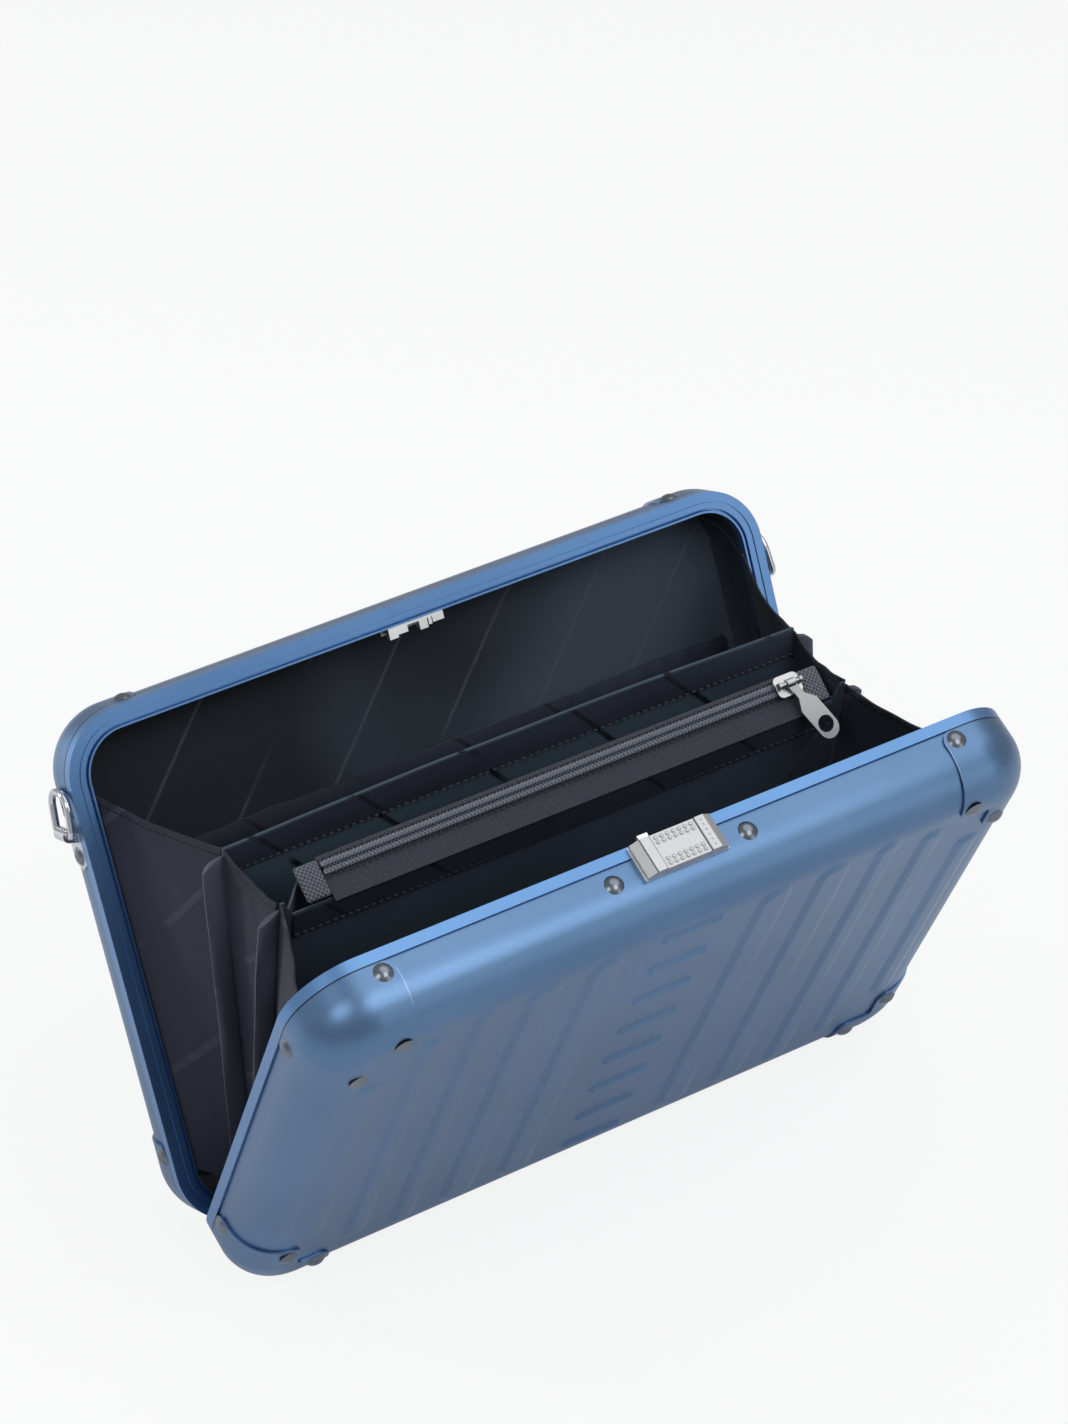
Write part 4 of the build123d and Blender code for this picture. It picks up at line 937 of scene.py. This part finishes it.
def tape(name, path, node):
    """A tape whose section is the path of (v, w) points, from its front to its back edge."""
    steps = [0.0]
    for (v0, w0), (v1, w1) in zip(path, path[1:]):
        steps.append(steps[-1] + math.hypot(v1 - v0, w1 - w0))

    def place(a, b):
        want = b * steps[-1]
        k = max(i for i in range(len(path) - 1) if steps[i] <= want + 1e-9)
        part = (want - steps[k]) / (steps[k + 1] - steps[k])
        v = path[k][0] + part * (path[k + 1][0] - path[k][0])
        w = path[k][1] + part * (path[k + 1][1] - path[k][1])
        return on_zip((a - 0.5) * 2 * zip_half, v, w)

    made = cloth(name, 60, 12, place, 0.0007, tape_finish, (2 * zip_half, steps[-1]))
    install(made, pocket_lean, "zip_pocket", node)
    print(name, "is", round(steps[-1] / MM, 1), "mm wide")


tape("zip_tape_front", [(-0.0124, 0), (-0.0005, 0)], "zip_front_tape")
tape("zip_tape_back", [(0.0005, 0), (0.0044, 0), (0.0051, -0.0004), (0.0051 - 0.0042, -0.0080)],
     "zip_back_tape")

# %% Coil teeth
tooth_pitch = 0.0015
tooth_radii = (0.00058, 0.00166, 0.00108)       # along the zip, across it, and out of it
tooth_row_off, tooth_high, tooth_slant = 0.00136, 0.0015, 0.22
teeth_in_row = int((2 * zip_half - 0.003) / tooth_pitch)
core_off, core_half, core_low, core_high = 0.0015, 0.0010, 0.00085, 0.00205


def teeth(name, side):
    deselect()
    bpy.ops.mesh.primitive_uv_sphere_add(segments=10, ring_count=6, radius=1)
    tooth = bpy.context.object
    tooth.name = name
    tooth.scale = tooth_radii
    bpy.ops.object.transform_apply(location=False, rotation=True, scale=True)
    for point in tooth.data.vertices:
        slant = tooth_slant * point.co.y * side
        point.co = on_zip(point.co.x + slant - zip_half + 0.0012 + (tooth_pitch / 2) * (side > 0),
                          side * tooth_row_off + point.co.y, tooth_high + point.co.z)
    row = tooth.modifiers.new("row", "ARRAY")
    row.count = teeth_in_row
    row.use_relative_offset = False
    row.use_constant_offset = True
    row.constant_offset_displace = (tooth_pitch, 0, 0)
    apply_all(tooth)
    bpy.ops.object.shade_smooth()
    tooth.data.materials.append(coil_finish.material)
    install(tooth, pocket_lean, "zip_pocket")
    return tooth


def core(name, side):
    """The cord that runs inside the loops of one row and fills the gaps between them."""
    made = block(name, (-zip_half, side * core_off - core_half, core_low),
                 (zip_half, side * core_off + core_half, core_high))
    bpy.ops.object.mode_set(mode="EDIT")
    pick_edges(made, lambda a, b: abs(a.x - b.x) > 0.01)
    bpy.ops.mesh.bevel(offset=0.0005, segments=3, affect="EDGES")
    bpy.ops.object.mode_set(mode="OBJECT")
    for point in made.data.vertices:
        point.co = on_zip(*point.co)
    bpy.ops.object.shade_smooth_by_angle(angle=math.radians(50))
    made.data.materials.append(coil_finish.material)
    install(made, pocket_lean, "zip_pocket")


for side, word in ((-1, "front"), (1, "back")):
    core(f"zip_core_{word}", side)
front_teeth = teeth("zip_teeth_front", -1)
teeth("zip_teeth_back", 1)
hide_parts("zip_coils")
for side, word in ((-1, "front"), (1, "back")):
    seam(f"zip_seam_{word}", on_zip(-zip_half, side * 0.0036, 0.0006),
         on_zip(zip_half, side * 0.0036, 0.0006), "zip_pocket", pocket_lean, 0.0026, 0.00035)
print("teeth in each row:", teeth_in_row)

# %% [markdown]
# ## Webbing ends
#
# Each end of the zip is caught in a piece of coarse webbing, folded over and sewn down. A cube
# gets soft corners by a bevel, is cut both ways, and its middle then swells a little.

# %% Webbing ends
tab_start, tab_end, tab_front, tab_back = 0.1033, 0.1130, -0.0098, 0.0040
tab_low, tab_high, tab_lift = -0.0012, 0.0013, 0.0004
for side, word in ((-1, "left"), (1, "right")):
    tab = block(f"zip_end_{word}", (min(side * tab_start, side * tab_end), tab_front, tab_low),
                (max(side * tab_start, side * tab_end), tab_back, tab_high))
    bpy.ops.object.mode_set(mode="EDIT")
    bpy.ops.mesh.select_all(action="SELECT")
    bpy.ops.mesh.bevel(offset=0.0009, segments=3, affect="EDGES")
    slice_up(tab, 0, [side * (tab_start + 0.0012 * k) for k in range(1, 8)])
    slice_up(tab, 1, [tab_front + 0.0013 * k for k in range(1, 11)])
    bpy.ops.mesh.select_all(action="SELECT")
    bpy.ops.uv.cube_project(cube_size=1, correct_aspect=False)
    bpy.ops.object.mode_set(mode="OBJECT")
    for point in tab.data.vertices:
        u, v, w = point.co
        across_tab = (u * side - tab_start) / (tab_end - tab_start)
        along_tab = (v - tab_front) / (tab_back - tab_front)
        dome = math.sin(math.pi * across_tab) * math.sin(math.pi * along_tab)
        full = 0.55 + 0.95 * math.sqrt(max(0, dome))
        point.co = on_zip(u, v, w * full + tab_lift)
    choose(tab)
    bpy.ops.object.shade_smooth_by_angle(angle=math.radians(50))
    tab.data.materials.append(webbing_finish.material)
    install(tab, pocket_lean, "zip_pocket")
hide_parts("zip_end_tabs")
print("webbing ends made")

# %% [markdown]
# ## Side walls
#
# Six gussets join the four upright parts. Each hangs between two leaning lines, so it is a
# ruled surface with a small sag, drawn in the place where the open case pulls it taut. A known
# fault is left: in the shut case the front ones cut through the pocket's side folds and the
# cloth beside them, where real cloth would fold over itself.
#
# The flat size and area given for these walls, and the area of the strip, are read off their
# own meshes. Set against those meshes they are sure to agree and can't find a wrong cut, so
# they are no example to follow: a cut should be worked out from the lines that it is sewn to.

# %% Gussets
def leaning(lean, x, y, r):
    """World place of a point on an upright part that leans by this many degrees."""
    turn = math.radians(lean)
    return Vector((x, y * math.cos(turn) + r * math.sin(turn),
                   axis_height - y * math.sin(turn) + r * math.cos(turn)))


def gusset(name, side, first, second, sag, seed):
    """first and second are (lean, x, y, low, high) of the two sewn lines."""
    def place(a, b):
        ends = []
        for lean, x, y, low, high in (first, second):
            ends.append(leaning(lean, side * x, y, low + b * (high - low)))
        point = ends[0].lerp(ends[1], a)
        hang = math.sin(math.pi * a) * (0.3 + 0.7 * b)
        point.x -= side * hang * (sag + 0.0005 * ripple(2 * a, 3 * b, seed))
        point.z -= 0.0028 * math.sin(math.pi * a) * b ** 4
        return point

    tall = first[4] - first[3]

    def measure(a, b):
        return ((a - 0.5) * (place(0, b) - place(1, b)).length + 0.05, (b - 1) * tall)

    made = cloth(name, 26, 70, place, 0.0007, gusset_finish, measure=measure)
    return made


def real_area(piece):
    """The area of the cloth as modelled: about half of the mesh's, which has two sides."""
    return sum(face.area for face in piece.data.polygons) / 2


shell_x, divider_x, pocket_x, pocket_front_x = 0.1434, 0.1241, 0.1227, 0.1216
sewn_low, sewn_high = 0.0125, 0.1684
shell_sewn_low, shell_sewn_high = 0.0277, 0.1769
back_shell_line = (back_lean, shell_x, 0.0015, shell_sewn_low, shell_sewn_high)
divider_back_line = (divider_lean, divider_x, 0.0024, sewn_low, sewn_high)
divider_front_line = (divider_lean, divider_x, 0.0003, sewn_low, sewn_high)
pocket_back_line = (pocket_lean, pocket_x, 0.0004, sewn_low, sewn_high)
pocket_front_line = (pocket_lean, pocket_front_x, -0.0014, sewn_low, sewn_high)
front_shell_line = (front_lean, shell_x, -0.0015, shell_sewn_low, shell_sewn_high)
for side, word in ((-1, "left"), (1, "right")):
    rear = gusset(f"{word}_side_back", side, back_shell_line, divider_back_line, 0.0012,
                  1.0 + side)
    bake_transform(rear)
    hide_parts(f"{word}_gusset_back")
    middle = gusset(f"{word}_side_middle", side, divider_front_line, pocket_back_line, 0.0006,
                    3.0 + side)
    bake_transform(middle)
    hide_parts(f"{word}_gusset_middle")
    front = gusset(f"{word}_side_front", side, pocket_front_line, front_shell_line, 0.0012,
                   5.0 + side)
    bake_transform(front)
    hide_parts(f"{word}_gusset_front")
    for piece in (rear, middle, front):
        area = real_area(piece)
        print(piece.name, "cloth area", round(area, 5))

# %% [markdown]
# ## The strip over the hinge
#
# A strip of the same cloth runs along the bottom, from shell to shell, and hides the hinge.

# %% Floor strip
strip_half, strip_in, strip_high = 0.1268, 0.0004, 0.0111


def strip_place(a, b):
    x = (a - 0.5) * 2 * strip_half
    rear = leaning(back_lean, x, strip_in, strip_high)
    near = leaning(front_lean, x, -strip_in, strip_high)
    point = rear.lerp(near, b)
    point.z -= 0.0003 * math.sin(math.pi * b)
    return point


strip = cloth("floor_strip_cloth", 60, 10, strip_place, 0.0007, fold_finish,
              (2 * strip_half, 0.0100))
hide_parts("floor_strip")
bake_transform(strip)
print("floor strip area", round(real_area(strip), 5))

# %% [markdown]
# ## Seams
#
# The stitching is small but gives the cloth its scale: one row under the top of the divider and
# one along the pocket's hem. The zip's two rows were sewn together with its teeth.

# %% Rows of stitches
seam("divider_seam", (-0.122, -0.0001, 0.1588), (0.122, -0.0001, 0.1588), "divider", divider_lean)
seam("pocket_seam", (-0.115, -0.0019, 0.1512), (0.115, -0.0019, 0.1512), "zip_pocket", pocket_lean)
print("seams sewn")
